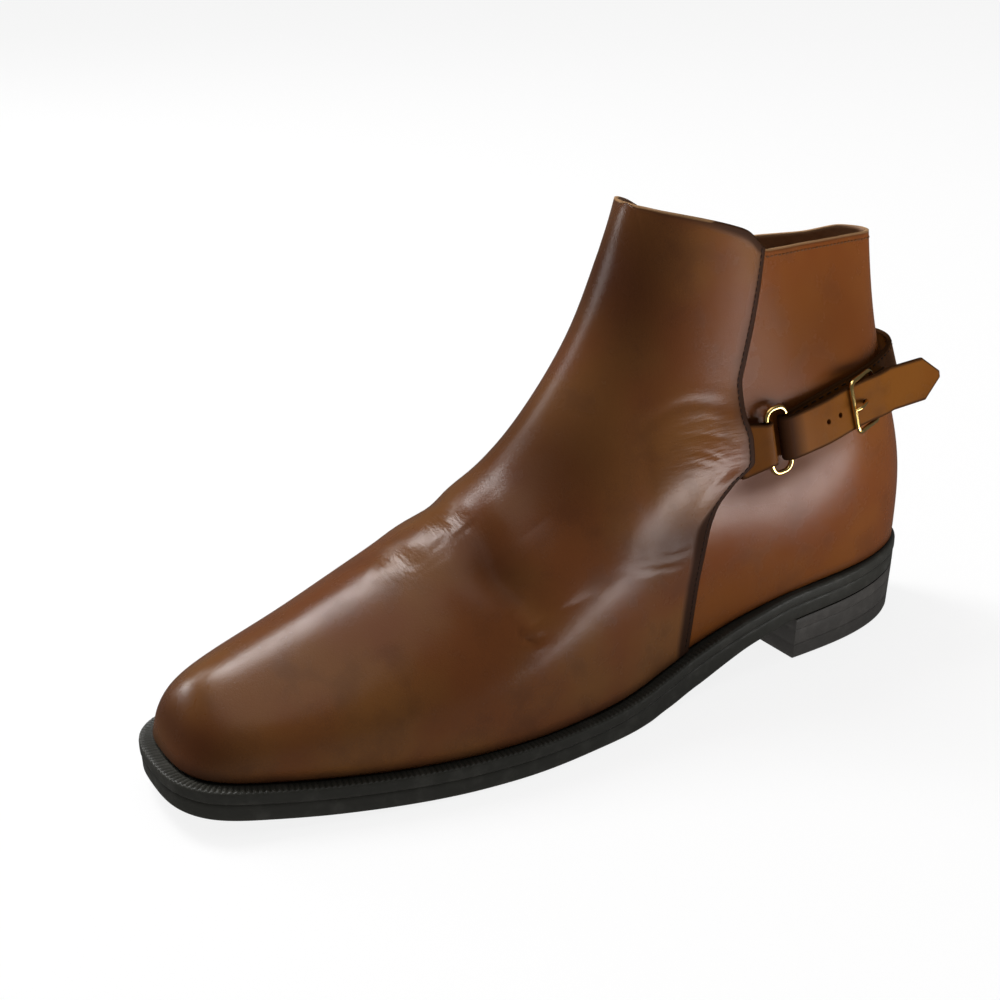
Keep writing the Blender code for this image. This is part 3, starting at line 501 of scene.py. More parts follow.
class Wall:
    """A fine grid on the upper's face. index gives a point by side (outer, inner), column and level."""

    def __init__(self, quarter, panel, forefoot, levels):
        levels = np.linspace(0, 1, levels)
        rows = []
        for side in (1, -1):
            edge = vamp_edge_travel(side, levels)[:, None]
            columns = [np.linspace(0, 1, quarter + 1)[None, :-1] * edge] if quarter else []
            columns.append(edge + (FRONT_TRAVEL - edge) * np.linspace(0, 1, panel + 1)[None, :-1])
            share = np.linspace(0, 1, forefoot + 1)
            run = FRONT_TRAVEL + (TOE_TRAVEL - FRONT_TRAVEL) * (share - CREASE_COLUMNS * share * (1 - share))
            columns.append(np.broadcast_to(run, (len(levels), forefoot + 1)))
            rows.append(upper_surface(side * np.concatenate(columns, 1), levels).transpose(1, 0, 2))
        self.quarter = quarter
        self.front = quarter + panel
        grid = np.array(rows)
        index = np.arange(grid[..., 0].size).reshape(grid.shape[:3])
        index[1, -1] = index[0, -1]
        index[1, self.front :, -1] = index[0, self.front :, -1]
        if quarter:
            index[1, 0] = index[0, 0]
        quads = np.stack([index[:, :-1, :-1], index[:, 1:, :-1], index[:, 1:, 1:], index[:, :-1, 1:]], -1)
        quads[0] = quads[0, ..., ::-1]
        self.index = index
        self.faces = quads.reshape(-1, 4)
        held = np.unique(np.concatenate([index[:, :, 0].ravel(), index[:, 0].ravel()]))
        points = self.faired(relax(grid.reshape(-1, 3), self.faces, held))
        self.grid = points[index]
        self.points = self.grid.reshape(-1, 3)
        self.normals = vertex_normals(points, self.faces)[0][index].reshape(-1, 3)

    def faired(self, points):
        """The points with the toe and the shaft drawn on to smooth sheets."""
        station, high = points[:, 0], points[:, 2]
        normals, areas = vertex_normals(points, self.faces)
        share = np.maximum(ease((station - FAIR_TOE) / FAIR_FADE), ease((high - FAIR_SHAFT) / FAIR_FADE))
        from_welt = run_lengths(points[self.index], 2).reshape(-1)
        share *= ease((station - FAIR_REAR) / FAIR_REAR_FADE) * ease(from_welt / FAIR_WELT_FADE)
        some = np.flatnonzero((share > 0) & (areas > TINY_AREA))
        near = np.unique(self.index[:, ::2, ::3])
        near = near[(station[near] > FAIR_SAMPLES_FROM) & (areas[near] > TINY_AREA)]
        fitted = fair(points[some], normals[some], points[near], areas[near])
        points[some] += share[some, None] * (fitted - points[some])
        return points

    def from_rear(self):
        """Distance of each point from the first column, along its level."""
        return run_lengths(self.grid, 1).reshape(-1)

    def snap(self, row):
        """The grid point on the row's side that is nearest to it seen from the side."""
        side = self.grid[0 if row[1] >= 0 else 1].reshape(-1, 3)
        away = (side - np.array(row)) ** 2 @ np.array((1.0, 0.05, 1.0))
        return side[np.argmin(away)]

    def from_welt(self):
        return run_lengths(self.grid, 2).reshape(-1)

    def from_collar(self):
        """Distance down from the collar, and a large one where the column ends on the ridge instead."""
        down = run_lengths(self.grid[:, :, ::-1], 2)[:, :, ::-1]
        down[:, self.front + 1 :] = 1e3
        return down.reshape(-1)


def cut_rows(rows, normals, distance):
    """On each row of points, the place at a distance from the row's start, with its normal."""
    found = []
    for row, normal in zip(rows, normals):
        length = run_length(row)
        found.append([np.interp(distance, length, column) for column in (*row.T, *normal.T)])
    found = np.array(found)
    return found[:, :3], unit(found[:, 3:])


def run_lengths(grid, axis):
    """Length along one axis of a grid of points, at each of them."""
    step = np.linalg.norm(np.diff(grid, axis=axis), axis=-1)
    start = np.zeros_like(np.take(step, [0], axis))
    return np.concatenate([start, np.cumsum(step, axis)], axis)


# Pieces and materials.
PIECES = bpy.data.collections.new("boot_looks")
bpy.context.scene.collection.children.link(PIECES)


def dress(piece, nodes):
    """Puts a piece on the boot in place of its solids."""
    PIECES.objects.link(piece)
    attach(piece, "root")
    if nodes:
        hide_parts(*nodes)
    return piece


def add_mesh(name, points, faces, materials, nodes=(), values=None, sharp=None):
    """A smooth mesh from (station, outward, height) points, with named values for its points.

    Points that no face uses are left out. Edges past the angle sharp, in degrees, stay sharp.
    """
    used = np.unique(np.concatenate(faces))
    number = dict(zip(used.tolist(), range(len(used))))
    mesh = bpy.data.meshes.new(name)
    mesh.from_pydata(to_world(points[used]).tolist(), [], [[number[v] for v in face] for face in faces])
    for key, value in (values or {}).items():
        layer = mesh.attributes.new(key, "FLOAT", "POINT")
        layer.data.foreach_set("value", np.asarray(value, np.float32)[used])
    for look in materials:
        mesh.materials.append(look)
    mesh.shade_smooth()
    if sharp is not None:
        mesh.set_sharp_from_angle(angle=radians(sharp))
    return dress(bpy.data.objects.new(name, mesh), nodes)


def add_shell(piece, thickness, offset):
    """Gives a sheet its thickness. Its second material goes on the rim, its third on the inner face."""
    solidify = piece.modifiers.new("Wall", "SOLIDIFY")
    solidify.thickness = thickness * MM
    solidify.offset = offset
    solidify.use_even_offset = False
    solidify.use_quality_normals = True
    solidify.material_offset = 2
    solidify.material_offset_rim = 1


def add_wire(name, points, radii, look, closed, nodes=()):
    """A round wire through (station, outward, height) points, with a radius or one for each point."""
    curve = bpy.data.curves.new(name, "CURVE")
    curve.dimensions = "3D"
    radii = np.broadcast_to(radii, len(points))
    curve.bevel_depth = radii.max() * MM
    curve.bevel_resolution = 5
    curve.use_fill_caps = not closed
    spline = curve.splines.new("POLY")
    spline.points.add(len(points) - 1)
    for knot, point, radius in zip(spline.points, to_world(points), radii):
        knot.co = (*point, 1.0)
        knot.radius = radius / radii.max()
    spline.use_cyclic_u = closed
    curve.materials.append(look)
    return dress(bpy.data.objects.new(name, curve), nodes)


class Look:
    """A Principled material and short ways to add the nodes that feed it."""

    def __init__(self, name, colour, roughness, metallic=0.0, specular=0.5):
        self.material = bpy.data.materials.new(name)
        self.material.use_nodes = True
        self.nodes = self.material.node_tree.nodes
        self.links = self.material.node_tree.links
        self.shader = self.nodes["Principled BSDF"]
        self.shader.inputs["Base Color"].default_value = (*colour, 1.0)
        self.shader.inputs["Roughness"].default_value = roughness
        self.shader.inputs["Metallic"].default_value = metallic
        self.shader.inputs["Specular IOR Level"].default_value = specular
        self.place = self.nodes.new("ShaderNodeTexCoord").outputs["Object"]

    def link(self, source, node, socket):
        self.links.new(source, node.inputs[socket])

    def noise(self, size, detail=3.0, roughness=0.5, stretch=(1.0, 1.0, 1.0)):
        """Noise with features of about the given size in millimetres, longer along a stretched axis."""
        mapping = self.nodes.new("ShaderNodeMapping")
        mapping.inputs["Scale"].default_value = [1.0 / s for s in stretch]
        self.link(self.place, mapping, "Vector")
        made = self.nodes.new("ShaderNodeTexNoise")
        made.inputs["Scale"].default_value = 1.0 / (size * MM)
        made.inputs["Detail"].default_value = detail
        made.inputs["Roughness"].default_value = roughness
        self.link(mapping.outputs["Vector"], made, "Vector")
        return made.outputs["Fac"]

    def cells(self, size):
        """Distance to the border of cells of about the given size in millimetres."""
        made = self.nodes.new("ShaderNodeTexVoronoi")
        made.feature = "DISTANCE_TO_EDGE"
        made.inputs["Scale"].default_value = 1.0 / (size * MM)
        self.link(self.place, made, "Vector")
        return made.outputs["Distance"]

    def value(self, name):
        """A named value of the mesh's points."""
        made = self.nodes.new("ShaderNodeAttribute")
        made.attribute_name = name
        return made.outputs["Fac"]

    def ramp(self, source, low, high, from_low=0.0, from_high=1.0):
        """The source's range turned into another, softly and held at its ends."""
        made = self.nodes.new("ShaderNodeMapRange")
        made.interpolation_type = "SMOOTHSTEP"
        made.inputs["From Min"].default_value = from_low
        made.inputs["From Max"].default_value = from_high
        made.inputs["To Min"].default_value = low
        made.inputs["To Max"].default_value = high
        self.link(source, made, "Value")
        return made.outputs["Result"]

    def multiply(self, first, second):
        made = self.nodes.new("ShaderNodeMath")
        made.operation = "MULTIPLY"
        self.link(first, made, 0)
        self.link(second, made, 1)
        return made.outputs["Value"]

    def mix(self, share, first, second):
        """Colours or sockets mixed by a share."""
        made = self.nodes.new("ShaderNodeMix")
        made.data_type = "RGBA"
        self.link(share, made, 0)
        for source, socket in ((first, 6), (second, 7)):
            if isinstance(source, tuple):
                made.inputs[socket].default_value = (*source, 1.0)
            else:
                self.link(source, made, socket)
        return made.outputs[2]

    def bump(self, height, depth, strength=1.0, under=None):
        """A bump of the given depth in millimetres, over an earlier one."""
        made = self.nodes.new("ShaderNodeBump")
        made.inputs["Strength"].default_value = strength
        made.inputs["Distance"].default_value = depth * MM
        self.link(height, made, "Height")
        if under is not None:
            self.link(under, made, "Normal")
        return made.outputs["Normal"]

    def finish(self, colour=None, roughness=None, normal=None):
        for source, socket in ((colour, "Base Color"), (roughness, "Roughness"), (normal, "Normal")):
            if source is not None:
                self.link(source, self.shader, socket)
        return self.material


# Colour of the leather right at the collar's cut edge, where the dye has worn off.
RAW_EDGE = (0.30, 0.17, 0.08)


def calf_leather(name, plain, warm, deep, edge, shine):
    """Polished calf: clouded colour, pores, fine wrinkles and painted shade where the mesh says so, and
    burnished edges, a darker band next to the welt, and on the upper a painted shadow below the strap.
    """
    look = Look(name, plain, 0.36, specular=shine)
    look.shader.inputs["Specular Tint"].default_value = (1.0, 0.94, 0.93, 1.0)
    colour = look.mix(look.ramp(look.noise(38.0, 2.0), 0.0, 1.0, 0.36, 0.66), plain, warm)
    colour = look.mix(look.ramp(look.noise(14.0, 3.0, 0.55), 0.0, 0.3, 0.45, 0.75), colour, deep)
    # Painted shade: where the mesh's value says so, the colour darkens towards deep and the sheen dulls.
    colour = look.mix(look.value("shade_and_tone"), colour, deep)
    colour = look.mix(look.value("edge"), colour, edge)
    colour = look.mix(look.ramp(look.value("raw"), 0.0, 0.9, 0.90, 0.98), colour, RAW_EDGE)
    dull = look.ramp(look.value("edge"), shine, 0.2 * shine)
    dull = look.multiply(dull, look.ramp(look.value("shade_and_tone"), 1.0, 0.3))
    look.link(dull, look.shader, "Specular IOR Level")
    rough = look.ramp(look.noise(14.0, 4.0, 0.6), 0.22, 0.30, 0.3, 0.7)
    rough = look.mix(look.value("edge"), rough, (0.6, 0.6, 0.6))
    normal = look.bump(look.noise(0.7, 3.0, 0.6), 0.05, 0.3)
    normal = look.bump(look.ramp(look.cells(1.1), 0.0, 1.0, 0.0, 0.12), 0.05, 0.2, normal)
    wrinkles = look.multiply(look.noise(1.3, 2.0, 0.5, (2.0, 8.0, 1.0)), look.value("creased"))
    normal = look.bump(wrinkles, 1.0, 0.15, normal)
    wrinkles = look.multiply(look.noise(1.4, 2.0, 0.5, (6.0, 1.0, 1.4)), look.value("across"))
    normal = look.bump(wrinkles, 1.0, 0.22, normal)
    return look.finish(colour, rough, normal)


def cut_edge(name, pale, dark):
    """Cut edge of the leather, left pale at the collar and stained elsewhere."""
    look = Look(name, pale, 0.7, specular=0.05)
    worn = tuple(0.6 * c for c in pale)
    shade = look.mix(look.ramp(look.noise(3.0, 4.0, 0.6), 0.0, 0.6, 0.4, 0.7), pale, worn)
    shade = look.mix(look.value("raw"), dark, shade)
    return look.finish(shade, None, look.bump(look.noise(0.5, 3.0, 0.6), 0.08, 0.5))


def edge_leather(name, colour, worn, roughness):
    """Blackened sole edge or heel: waxed, a little worn and streaked along its run."""
    look = Look(name, colour, roughness, specular=0.2)
    shade = look.mix(look.ramp(look.noise(7.0, 4.0, 0.6), 0.0, 1.0, 0.45, 0.8), colour, worn)
    rough = look.ramp(look.noise(5.0, 4.0, 0.6), roughness - 0.08, roughness + 0.12, 0.3, 0.7)
    normal = look.bump(look.noise(0.8, 4.0, 0.6), 0.08, 0.4)
    normal = look.bump(look.noise(1.2, 2.0, 0.5, (1.0, 1.0, 0.2)), 0.06, 0.3, normal)
    return look.finish(shade, rough, normal)


def plain_leather(name, colour, other, roughness):
    """Undressed leather of the lining."""
    look = Look(name, colour, roughness)
    shade = look.mix(look.ramp(look.noise(12.0, 5.0, 0.65), 0.0, 1.0, 0.35, 0.7), colour, other)
    normal = look.bump(look.noise(0.9, 4.0, 0.6), 0.1, 0.5)
    return look.finish(shade, None, normal)


def polished_brass():
    bright, dull = (0.83, 0.58, 0.21), (0.5, 0.3, 0.09)
    look = Look("brass_polished", bright, 0.2, metallic=1.0)
    shade = look.mix(look.ramp(look.noise(2.5, 4.0, 0.6), 0.0, 0.7, 0.5, 0.8), bright, dull)
    rough = look.ramp(look.noise(4.0, 3.0, 0.6), 0.14, 0.24, 0.3, 0.7)
    return look.finish(shade, rough, look.bump(look.noise(1.5, 2.0), 0.01, 0.15))


def waxed_thread(name, colour):
    look = Look(name, colour, 0.6, specular=0.1)
    normal = look.bump(look.noise(0.25, 2.0), 0.08, 0.5)
    shade = look.mix(look.noise(1.5, 3.0), colour, tuple(0.6 * c for c in colour))
    return look.finish(shade, None, normal)


# Creases of the worn vamp, listed as (station, outward, height): soft troughs with raised lips.
# A negative depth is a soft ridge. HIDDEN_SIDE is how strong the marks are on the inner side.
Crease = namedtuple("Crease", "depth width path")
RIDGE_CREASES = (
    Crease(0.8, 3.2, ((196, -15, 73), (198, -4, 78), (199, 3, 77), (195, 13, 76))),
    Crease(0.4, 3.0, ((222, -14, 61), (222, -2, 66), (219, 5, 67), (215, 14, 66))),
    Crease(0.3, 0.9, ((204, -8, 74), (203, 0, 75.5), (201, 9, 75), (197, 13, 75))),
    Crease(0.3, 0.9, ((206, -6, 73), (205.5, 5, 73), (201, 13, 73))),
    Crease(0.3, 0.9, ((200, 6, 76), (195, 14, 75))),
    Crease(0.25, 0.9, ((226, -9, 63), (225, 0, 65), (221, 6, 66), (216, 11, 66))),
    Crease(0.25, 0.9, ((228, -8, 62), (226, 2, 64), (222, 10, 64))),
    Crease(0.25, 0.9, ((221, -9, 65), (219, 0, 68), (215, 11, 66))),
)
SIDE_CREASES = (
    Crease(2.0, 6.0, ((198, 8, 76), (196, 18, 72), (196, 27, 65), (194, 33, 59), (191, 38, 51))),
    Crease(-0.9, 7.0, ((181, 25, 76), (177, 33, 66), (174, 39, 55))),
    Crease(0.5, 7.0, ((150, 36, 69), (136, 34, 67), (122, 34, 65), (110, 33, 65))),
    Crease(0.25, 2.0, ((143, 24, 104), (136, 25, 106), (126, 27, 109), (114, 28, 108), (101, 29, 103))),
    Crease(0.9, 1.2, ((198, 35, 55), (195, 39, 49), (189, 42, 46))),
    Crease(0.7, 1.1, ((196, 40, 48), (191, 42, 44))),
    Crease(0.15, 1.0, ((158, 38, 61), (145, 37, 58), (127, 35, 55))),
    Crease(0.15, 1.0, ((148, 37, 64), (135, 36, 60), (123, 35, 59))),
    Crease(0.16, 0.9, ((127, 31, 94), (117, 31, 92), (111, 31, 88), (104, 32, 83))),
    Crease(0.14, 0.9, ((128, 31, 91), (121, 31, 89), (105, 32, 82))),
    Crease(0.14, 0.9, ((128, 30, 99), (118, 30, 98), (101, 31, 92))),
    Crease(0.12, 0.9, ((124, 29, 104), (114, 29, 103), (102, 30, 98))),
    Crease(0.14, 0.9, ((118, 31, 86), (110, 32, 82), (105, 32, 79))),
)
BULGES = (
    # outward by, centre, reach
    (1.7, (120, 32, 87), (19, 30, 11)),
    (0.8, (211, 3, 71), (7, 12, 12)),
    (0.6, (187, 10, 83), (6, 12, 10)),
)
HIDDEN_SIDE = 0.5

# Fine wrinkles: round the ankle they run along the foot, on the instep across it.
ANKLE_WRINKLES = (
    # amount, centre, reach
    (1.0, (116, 31, 93), (20, 30, 15)),
    (0.3, (140, 36, 60), (18, 20, 9)),
)
INSTEP_WRINKLES = (
    (1.0, (201, 5, 75), (9, 13, 8)),
    (0.9, (221, 3, 66), (7, 12, 7)),
)

# Painted shade, darker and duller: on the vamp in its creases, in the hollow below the ankle, on the instep's
# side, beside the shaft's ridge and at the toe tip; on the quarters towards the top of the shaft and round
# the ring; and a painted shadow in the band below the strap.
VAMP_PAINTED_SHADE = (
    (0.7, (128, 8, 140), (18, 20, 38)),
    (0.6, (165, 18, 92), (24, 25, 22)),
    (0.75, (197, 24, 66), (10, 16, 14)),
    (0.9, (128, 35, 62), (25, 20, 10)),
    (0.55, (294, 2, 27), (11, 30, 8)),
)
SHAFT_PAINTED_SHADE = (
    (0.5, (58, 30, 122), (45, 40, 26)),
    (0.95, (94, 34, 97), (11, 20, 11)),
)
STRAP_SHADE = (
    (0.6, (92, 34, 76), (16, 20, 6)),
    (0.5, (74, 34, 80), (14, 20, 5)),
    (0.3, (58, 34, 84), (10, 20, 4)),
)


def soft_spots(points, spots, mirrored=0.0):
    """Sum of soft spots, each an amount at a centre that falls off over its reach, and weaker ones across."""
    total = np.zeros(len(points))
    for amount, centre, reach in spots:
        for sign, share in ((1, 1.0), (-1, mirrored)):
            away = (points * np.array((1, sign, 1)) - np.array(centre)) / np.array(reach)
            total += share * amount * np.exp(-(away**2).sum(1))
    return total


def crease_relief(wall, creases):
    """How far the creases move each point of the wall out, in millimetres."""
    points = wall.points
    relief = np.zeros(len(points))
    for crease in creases:
        knots = np.array([wall.snap(row) for row in crease.path])
        path = smooth_line(knots, 6 * len(knots))
        total = run_length(path)
        nearest = np.full(len(points), 1e9)
        share = np.zeros(len(points))
        for k in range(len(path) - 1):
            run = path[k + 1] - path[k]
            t = np.clip((points - path[k]) @ run / (run @ run), 0, 1)
            away = np.linalg.norm(points - path[k] - t[:, None] * run, axis=1)
            closer = away < nearest
            nearest[closer] = away[closer]
            share[closer] = (total[k] + t[closer] * (total[k + 1] - total[k])) / total[-1]
        far = nearest / crease.width
        trough = np.exp(-(far**2)) - 0.4 * np.exp(-((far - 1.9) ** 2))
        relief -= crease.depth * trough * np.sin(np.pi * np.clip(share, 0.0, 1.0)) ** 0.7
    return relief


def across_foot(creases, share):
    return [Crease(c.depth * share, c.width, [(row[0], -row[1], row[2]) for row in c.path]) for c in creases]


# Stitches.
STITCH_RADIUS = 0.3
STITCH_RINGS = ((-0.5, 0.3), (-0.4, 0.8), (-0.2, 1.0), (0.2, 1.0), (0.4, 0.8), (0.5, 0.3))
STITCH_SIDES = 8
SEAM_STITCH = (2.2, 1.7)  # pitch, length
STRAP_STITCH = (4.0, 2.4)


def add_stitches(name, line, normals, pitch, length, look, slot):
    """A row of short stitches half sunk in the leather along a line."""
    rows = resample(np.concatenate([line, normals], 1), pitch)
    run = unit(np.gradient(rows[:, :3], axis=0))
    face = unit(rows[:, 3:] - (rows[:, 3:] * run).sum(1)[:, None] * run)
    across = np.cross(face, run)
    angles = np.linspace(0, 2 * np.pi, STITCH_SIDES, endpoint=False)
    shape = [(place * length, STITCH_RADIUS * wide * np.cos(a), 0.7 * STITCH_RADIUS * wide * np.sin(a))
             for place, wide in STITCH_RINGS for a in angles]
    shape = np.array(shape)
    points = [rows[k, :3] + shape @ np.stack([run[k], across[k], face[k]]) for k in range(len(rows))]
    ring = np.arange(STITCH_SIDES)
    faces = []
    for k in range(len(STITCH_RINGS) - 1):
        low = k * STITCH_SIDES + ring
        ahead = np.roll(low, -1)
        faces += np.stack([low, ahead, ahead + STITCH_SIDES, low + STITCH_SIDES], 1).tolist()
    faces.append(ring[::-1].tolist())
    faces.append((ring + STITCH_SIDES * (len(STITCH_RINGS) - 1)).tolist())
    every = [[v + len(shape) * k for v in face] for k in range(len(rows)) for face in faces]
    add_mesh(name, np.concatenate(points), every, (look,))


# Build of the upper and the vamp. The upper's wall is thinner at the collar, and it sinks where the vamp
# covers it. The vamp bulges over the ring's tab.
COLLAR_THICK = 1.1
COLLAR_DROP = 1.4
SUNK = 1.3
COLLAR_ROW = 2.6
VAMP_ROW = 1.9
VAMP_GAP = 0.05
TAB_BULGE = 2.6
TAB_MIDDLE, TAB_REACH, TAB_FADE = 91.0, 14.0, 14.0
QUARTER_COLUMNS = 70
WELT_FADE = 8.0
RAW_BAND = 6.0
SUNK_FROM, SUNK_FADE = 2.0, 8.0
DROP_FADE, DROP_DEEP = 5.0, 12.0
THIN_FROM, THIN_FADE = 2.0, 14.0

# Dark strip along the vamp's rear edge, burnished leather that is partly painted shade where it widens low
# down: its width, what it gains below a height, and its way round the corner at the collar. Forward of a
# station the collar's edge is left raw.
STRIP, STRIP_LOW = 1.6, 2.6
LOW_HEIGHT, LOW_FADE = 76.0, 12.0
CORNER_FADE = 30.0
RAW_FROM, RAW_FADE = 96.0, 14.0


def add_upper(leather, rim, lining, thread):
    wall = Wall(quarter=QUARTER_COLUMNS, panel=24, forefoot=30, levels=90)
    down = wall.from_collar()
    rows = run_lengths(wall.grid, 1)
    past_edge = (rows - rows[:, QUARTER_COLUMNS : QUARTER_COLUMNS + 1]).reshape(-1)
    sunk = SUNK * ease((past_edge - SUNK_FROM) / SUNK_FADE) * ease((down + 1.0) / SUNK_FADE)
    sunk = sunk * ease(wall.from_welt() / WELT_FADE)
    points = wall.points - wall.normals * sunk[:, None]
    points[:, 2] -= COLLAR_DROP * ease(past_edge / DROP_FADE) * ease(1 - down / DROP_DEEP)
    edge = np.maximum(0.7 * ease(1 - down / 1.6), 0.5 * ease(1 - wall.from_welt() / 4.0))
    # Painted shadow in the band below the strap, and painted shade towards the top of the shaft and round the
    # ring.
    values = {
        "edge": np.maximum(edge, np.clip(soft_spots(wall.points, STRAP_SHADE, 1.0), 0, 0.6)),
        "shade_and_tone": np.clip(soft_spots(wall.points, SHAFT_PAINTED_SHADE, 1.0), 0, 1),
        "raw": ease(1 - down / RAW_BAND),
    }
    looks = (leather, rim, lining)
    piece = add_mesh("upper_leather", points, wall.faces, looks, ("upper",), values)
    add_shell(piece, UPPER_WALL, -1.0)
    thin = piece.vertex_groups.new(name="full_thickness")
    used = np.unique(wall.faces)
    for order, full in enumerate(ease((down[used] - THIN_FROM) / THIN_FADE) * (1 - sunk[used] / SUNK)):
        thin.add([order], float(full), "REPLACE")
    piece.modifiers["Wall"].vertex_group = "full_thickness"
    piece.modifiers["Wall"].thickness_vertex_group = COLLAR_THICK / UPPER_WALL

    normals = wall.normals.reshape(wall.grid.shape)
    downward = slice(QUARTER_COLUMNS), slice(None, None, -1)
    outer, inner = (cut_rows(wall.grid[k][downward], normals[k][downward], COLLAR_ROW) for k in (0, 1))
    line = np.concatenate([inner[0][::-1], outer[0][1:]])
    face = np.concatenate([inner[1][::-1], outer[1][1:]])
    add_stitches("collar_stitches", line, face, *SEAM_STITCH, thread, "tan_leather")


def add_vamp(leather, rim, lining, thread):
    wall = Wall(quarter=0, panel=46, forefoot=104, levels=150)
    rear = wall.from_rear()
    down = wall.from_collar()
    high = wall.points[:, 2]
    relief = crease_relief(wall, RIDGE_CREASES + SIDE_CREASES)
    relief += crease_relief(wall, across_foot(SIDE_CREASES[:4], HIDDEN_SIDE))
    relief += soft_spots(wall.points, BULGES, HIDDEN_SIDE)
    relief *= ease(wall.from_welt() / WELT_FADE)
    over_tab = np.exp(-(np.abs((high - TAB_MIDDLE) / TAB_REACH) ** 3)) * ease(1 - rear / TAB_FADE)
    lift = VAMP_GAP + relief * (1 - over_tab) + TAB_BULGE * over_tab
    points = wall.points + wall.normals * lift[:, None]
    points[np.unique(wall.index[:, :, 0]), 2] += VAMP_LIFT
    # Burnished dark strip along the rear edge, partly painted shade where it widens low down.
    strip = STRIP + STRIP_LOW * ease((LOW_HEIGHT - high) / LOW_FADE)
    burnish_and_shade = np.maximum(0.95 * ease(2 - rear / strip), 0.55 * ease(1 - rear / 7.0))
    corner = ease(1.4 - rear / CORNER_FADE)
    burnish_and_shade = np.maximum(burnish_and_shade, (0.6 + 0.3 * corner) * ease(1 + 0.8 * corner - down / 2.5))
    # Painted shade in the creases, in the hollow below the ankle, on the instep's side, beside the shaft's
    # ridge and at the toe tip.
    values = {
        "edge": np.maximum(burnish_and_shade, 0.6 * ease(1 - wall.from_welt() / 5.0)),
        "shade_and_tone": np.clip(soft_spots(wall.points, VAMP_PAINTED_SHADE, 1.0), 0, 1),
        "creased": np.clip(soft_spots(wall.points, ANKLE_WRINKLES, HIDDEN_SIDE), 0, 1),
        "across": np.clip(soft_spots(wall.points, INSTEP_WRINKLES), 0, 1),
        "raw": ease(1 - down / RAW_BAND) * ease((wall.points[:, 0] - RAW_FROM) / RAW_FADE),
    }
    looks = (leather, rim, lining)
    piece = add_mesh("vamp_leather", points, wall.faces, looks, ("vamp",), values)
    add_shell(piece, VAMP_THICK, 1.0)

    outer_face = (points + wall.normals * VAMP_THICK).reshape(wall.grid.shape)
    normals = wall.normals.reshape(wall.grid.shape)
    for name, k in (("vamp_stitches_outer", 0), ("vamp_stitches_inner", 1)):
        line, face = cut_rows(outer_face[k].transpose(1, 0, 2), normals[k].transpose(1, 0, 2), VAMP_ROW)
        add_stitches(name, line[4:-2], face[4:-2], *SEAM_STITCH, thread, "chestnut_leather")


# Soles.
WELT_STEP = 0.475
OUTSOLE_STEP = 1.5
NOTCH_PITCH = 1.9
NOTCH_DEPTH = 0.55
NOTCHES_FROM, NOTCHES_FADE = 90.0, 25.0
WAIST_FADE = 4.0
WAIST_DROP = (
    # station, how far the outsole reaches down past its solid
    (70.0, 0.0),
    (92.0, 0.4),
    (118.0, 2.4),
    (142.0, 1.8),
    (170.0, 0.0),
    (200.0, 0.0),
)


def sole_columns(step):
    """Travel round one side of the sole at about the given step in millimetres."""
    fine = np.linspace(0, TOE_TRAVEL, 2000)
    length = run_length(outline_at(1, fine, 0.0))
    return np.interp(np.linspace(0, length[-1], int(length[-1] / step) + 1), length, fine)


def ring_solid(name, rings, pointed, look, node):
    """A solid from rings of paired points, rings[k] is (outer side, inner side), closed above and below."""
    grid = np.array(rings)
    index = np.arange(grid[..., 0].size).reshape(grid.shape[:3])
    index[:, 1, 0] = index[:, 0, 0]
    if pointed:
        index[:, 1, -1] = index[:, 0, -1]
    outer, inner = index[:, 0], index[:, 1]
    outer_wall = [outer[:-1, 1:], outer[:-1, :-1], outer[1:, :-1], outer[1:, 1:]]
    inner_wall = [inner[:-1, :-1], inner[:-1, 1:], inner[1:, 1:], inner[1:, :-1]]
    faces = [np.stack(wall, -1).reshape(-1, 4) for wall in (outer_wall, inner_wall)]
    if not pointed:
        faces.append(np.stack([inner[:-1, -1], outer[:-1, -1], outer[1:, -1], inner[1:, -1]], -1))
    for k, turn in ((0, 1), (-1, -1)):
        lid = np.stack([outer[k, :-1], outer[k, 1:], inner[k, 1:], inner[k, :-1]], -1)
        faces.append(lid[:, ::turn])
    kept = [[v for n, v in enumerate(face) if v != face[n - 1]] for face in np.concatenate(faces).tolist()]
    add_mesh(name, grid.reshape(-1, 3), kept, (look,), (node,), sharp=50)


def sole_ring(travel, inset, rise):
    """One ring round the sole: the outline moved in, at a rise above the underside (numbers or arrays)."""
    sides = []
    for side in (1, -1):
        plan = outline_at(side, travel, inset)
        sides.append(np.column_stack([plan, underside(plan[:, 0]) + rise]))
    return sides


def add_welt(look):
    travel = sole_columns(WELT_STEP)
    length = np.arange(len(travel)) * WELT_STEP
    notch = NOTCH_DEPTH * (0.5 - 0.5 * np.cos(2 * np.pi * length / NOTCH_PITCH)) ** 2
    notch *= ease((outline_at(1, travel, 0.0)[:, 0] - NOTCHES_FROM) / NOTCHES_FADE)
    low = OUTSOLE_THICK + GAP
    high = low + WELT_THICK
    profile = (
        # inset, rise, share of the notches
        (0.4, low - 0.2, 0.0),
        (0.05, low + 0.15, 0.0),
        (0.0, low + 0.9, 0.0),
        (0.0, high - 1.4, 0.0),
        (0.15, high - 0.7, 0.1),
        (0.5, high - 0.25, 0.5),
        (0.9, high, 1.0),
        (2.2, high, 1.0),
        (4.0, high - 0.1, 0.9),
        (4.8, high - 0.3, 0.2),
        (5.2, high - 0.3, 0.0),
        (9.0, high - 0.3, 0.0),
    )
    rings = [sole_ring(travel, inset, rise - share * notch) for inset, rise, share in profile]
    ring_solid("welt_edge", rings, True, look, "welt")


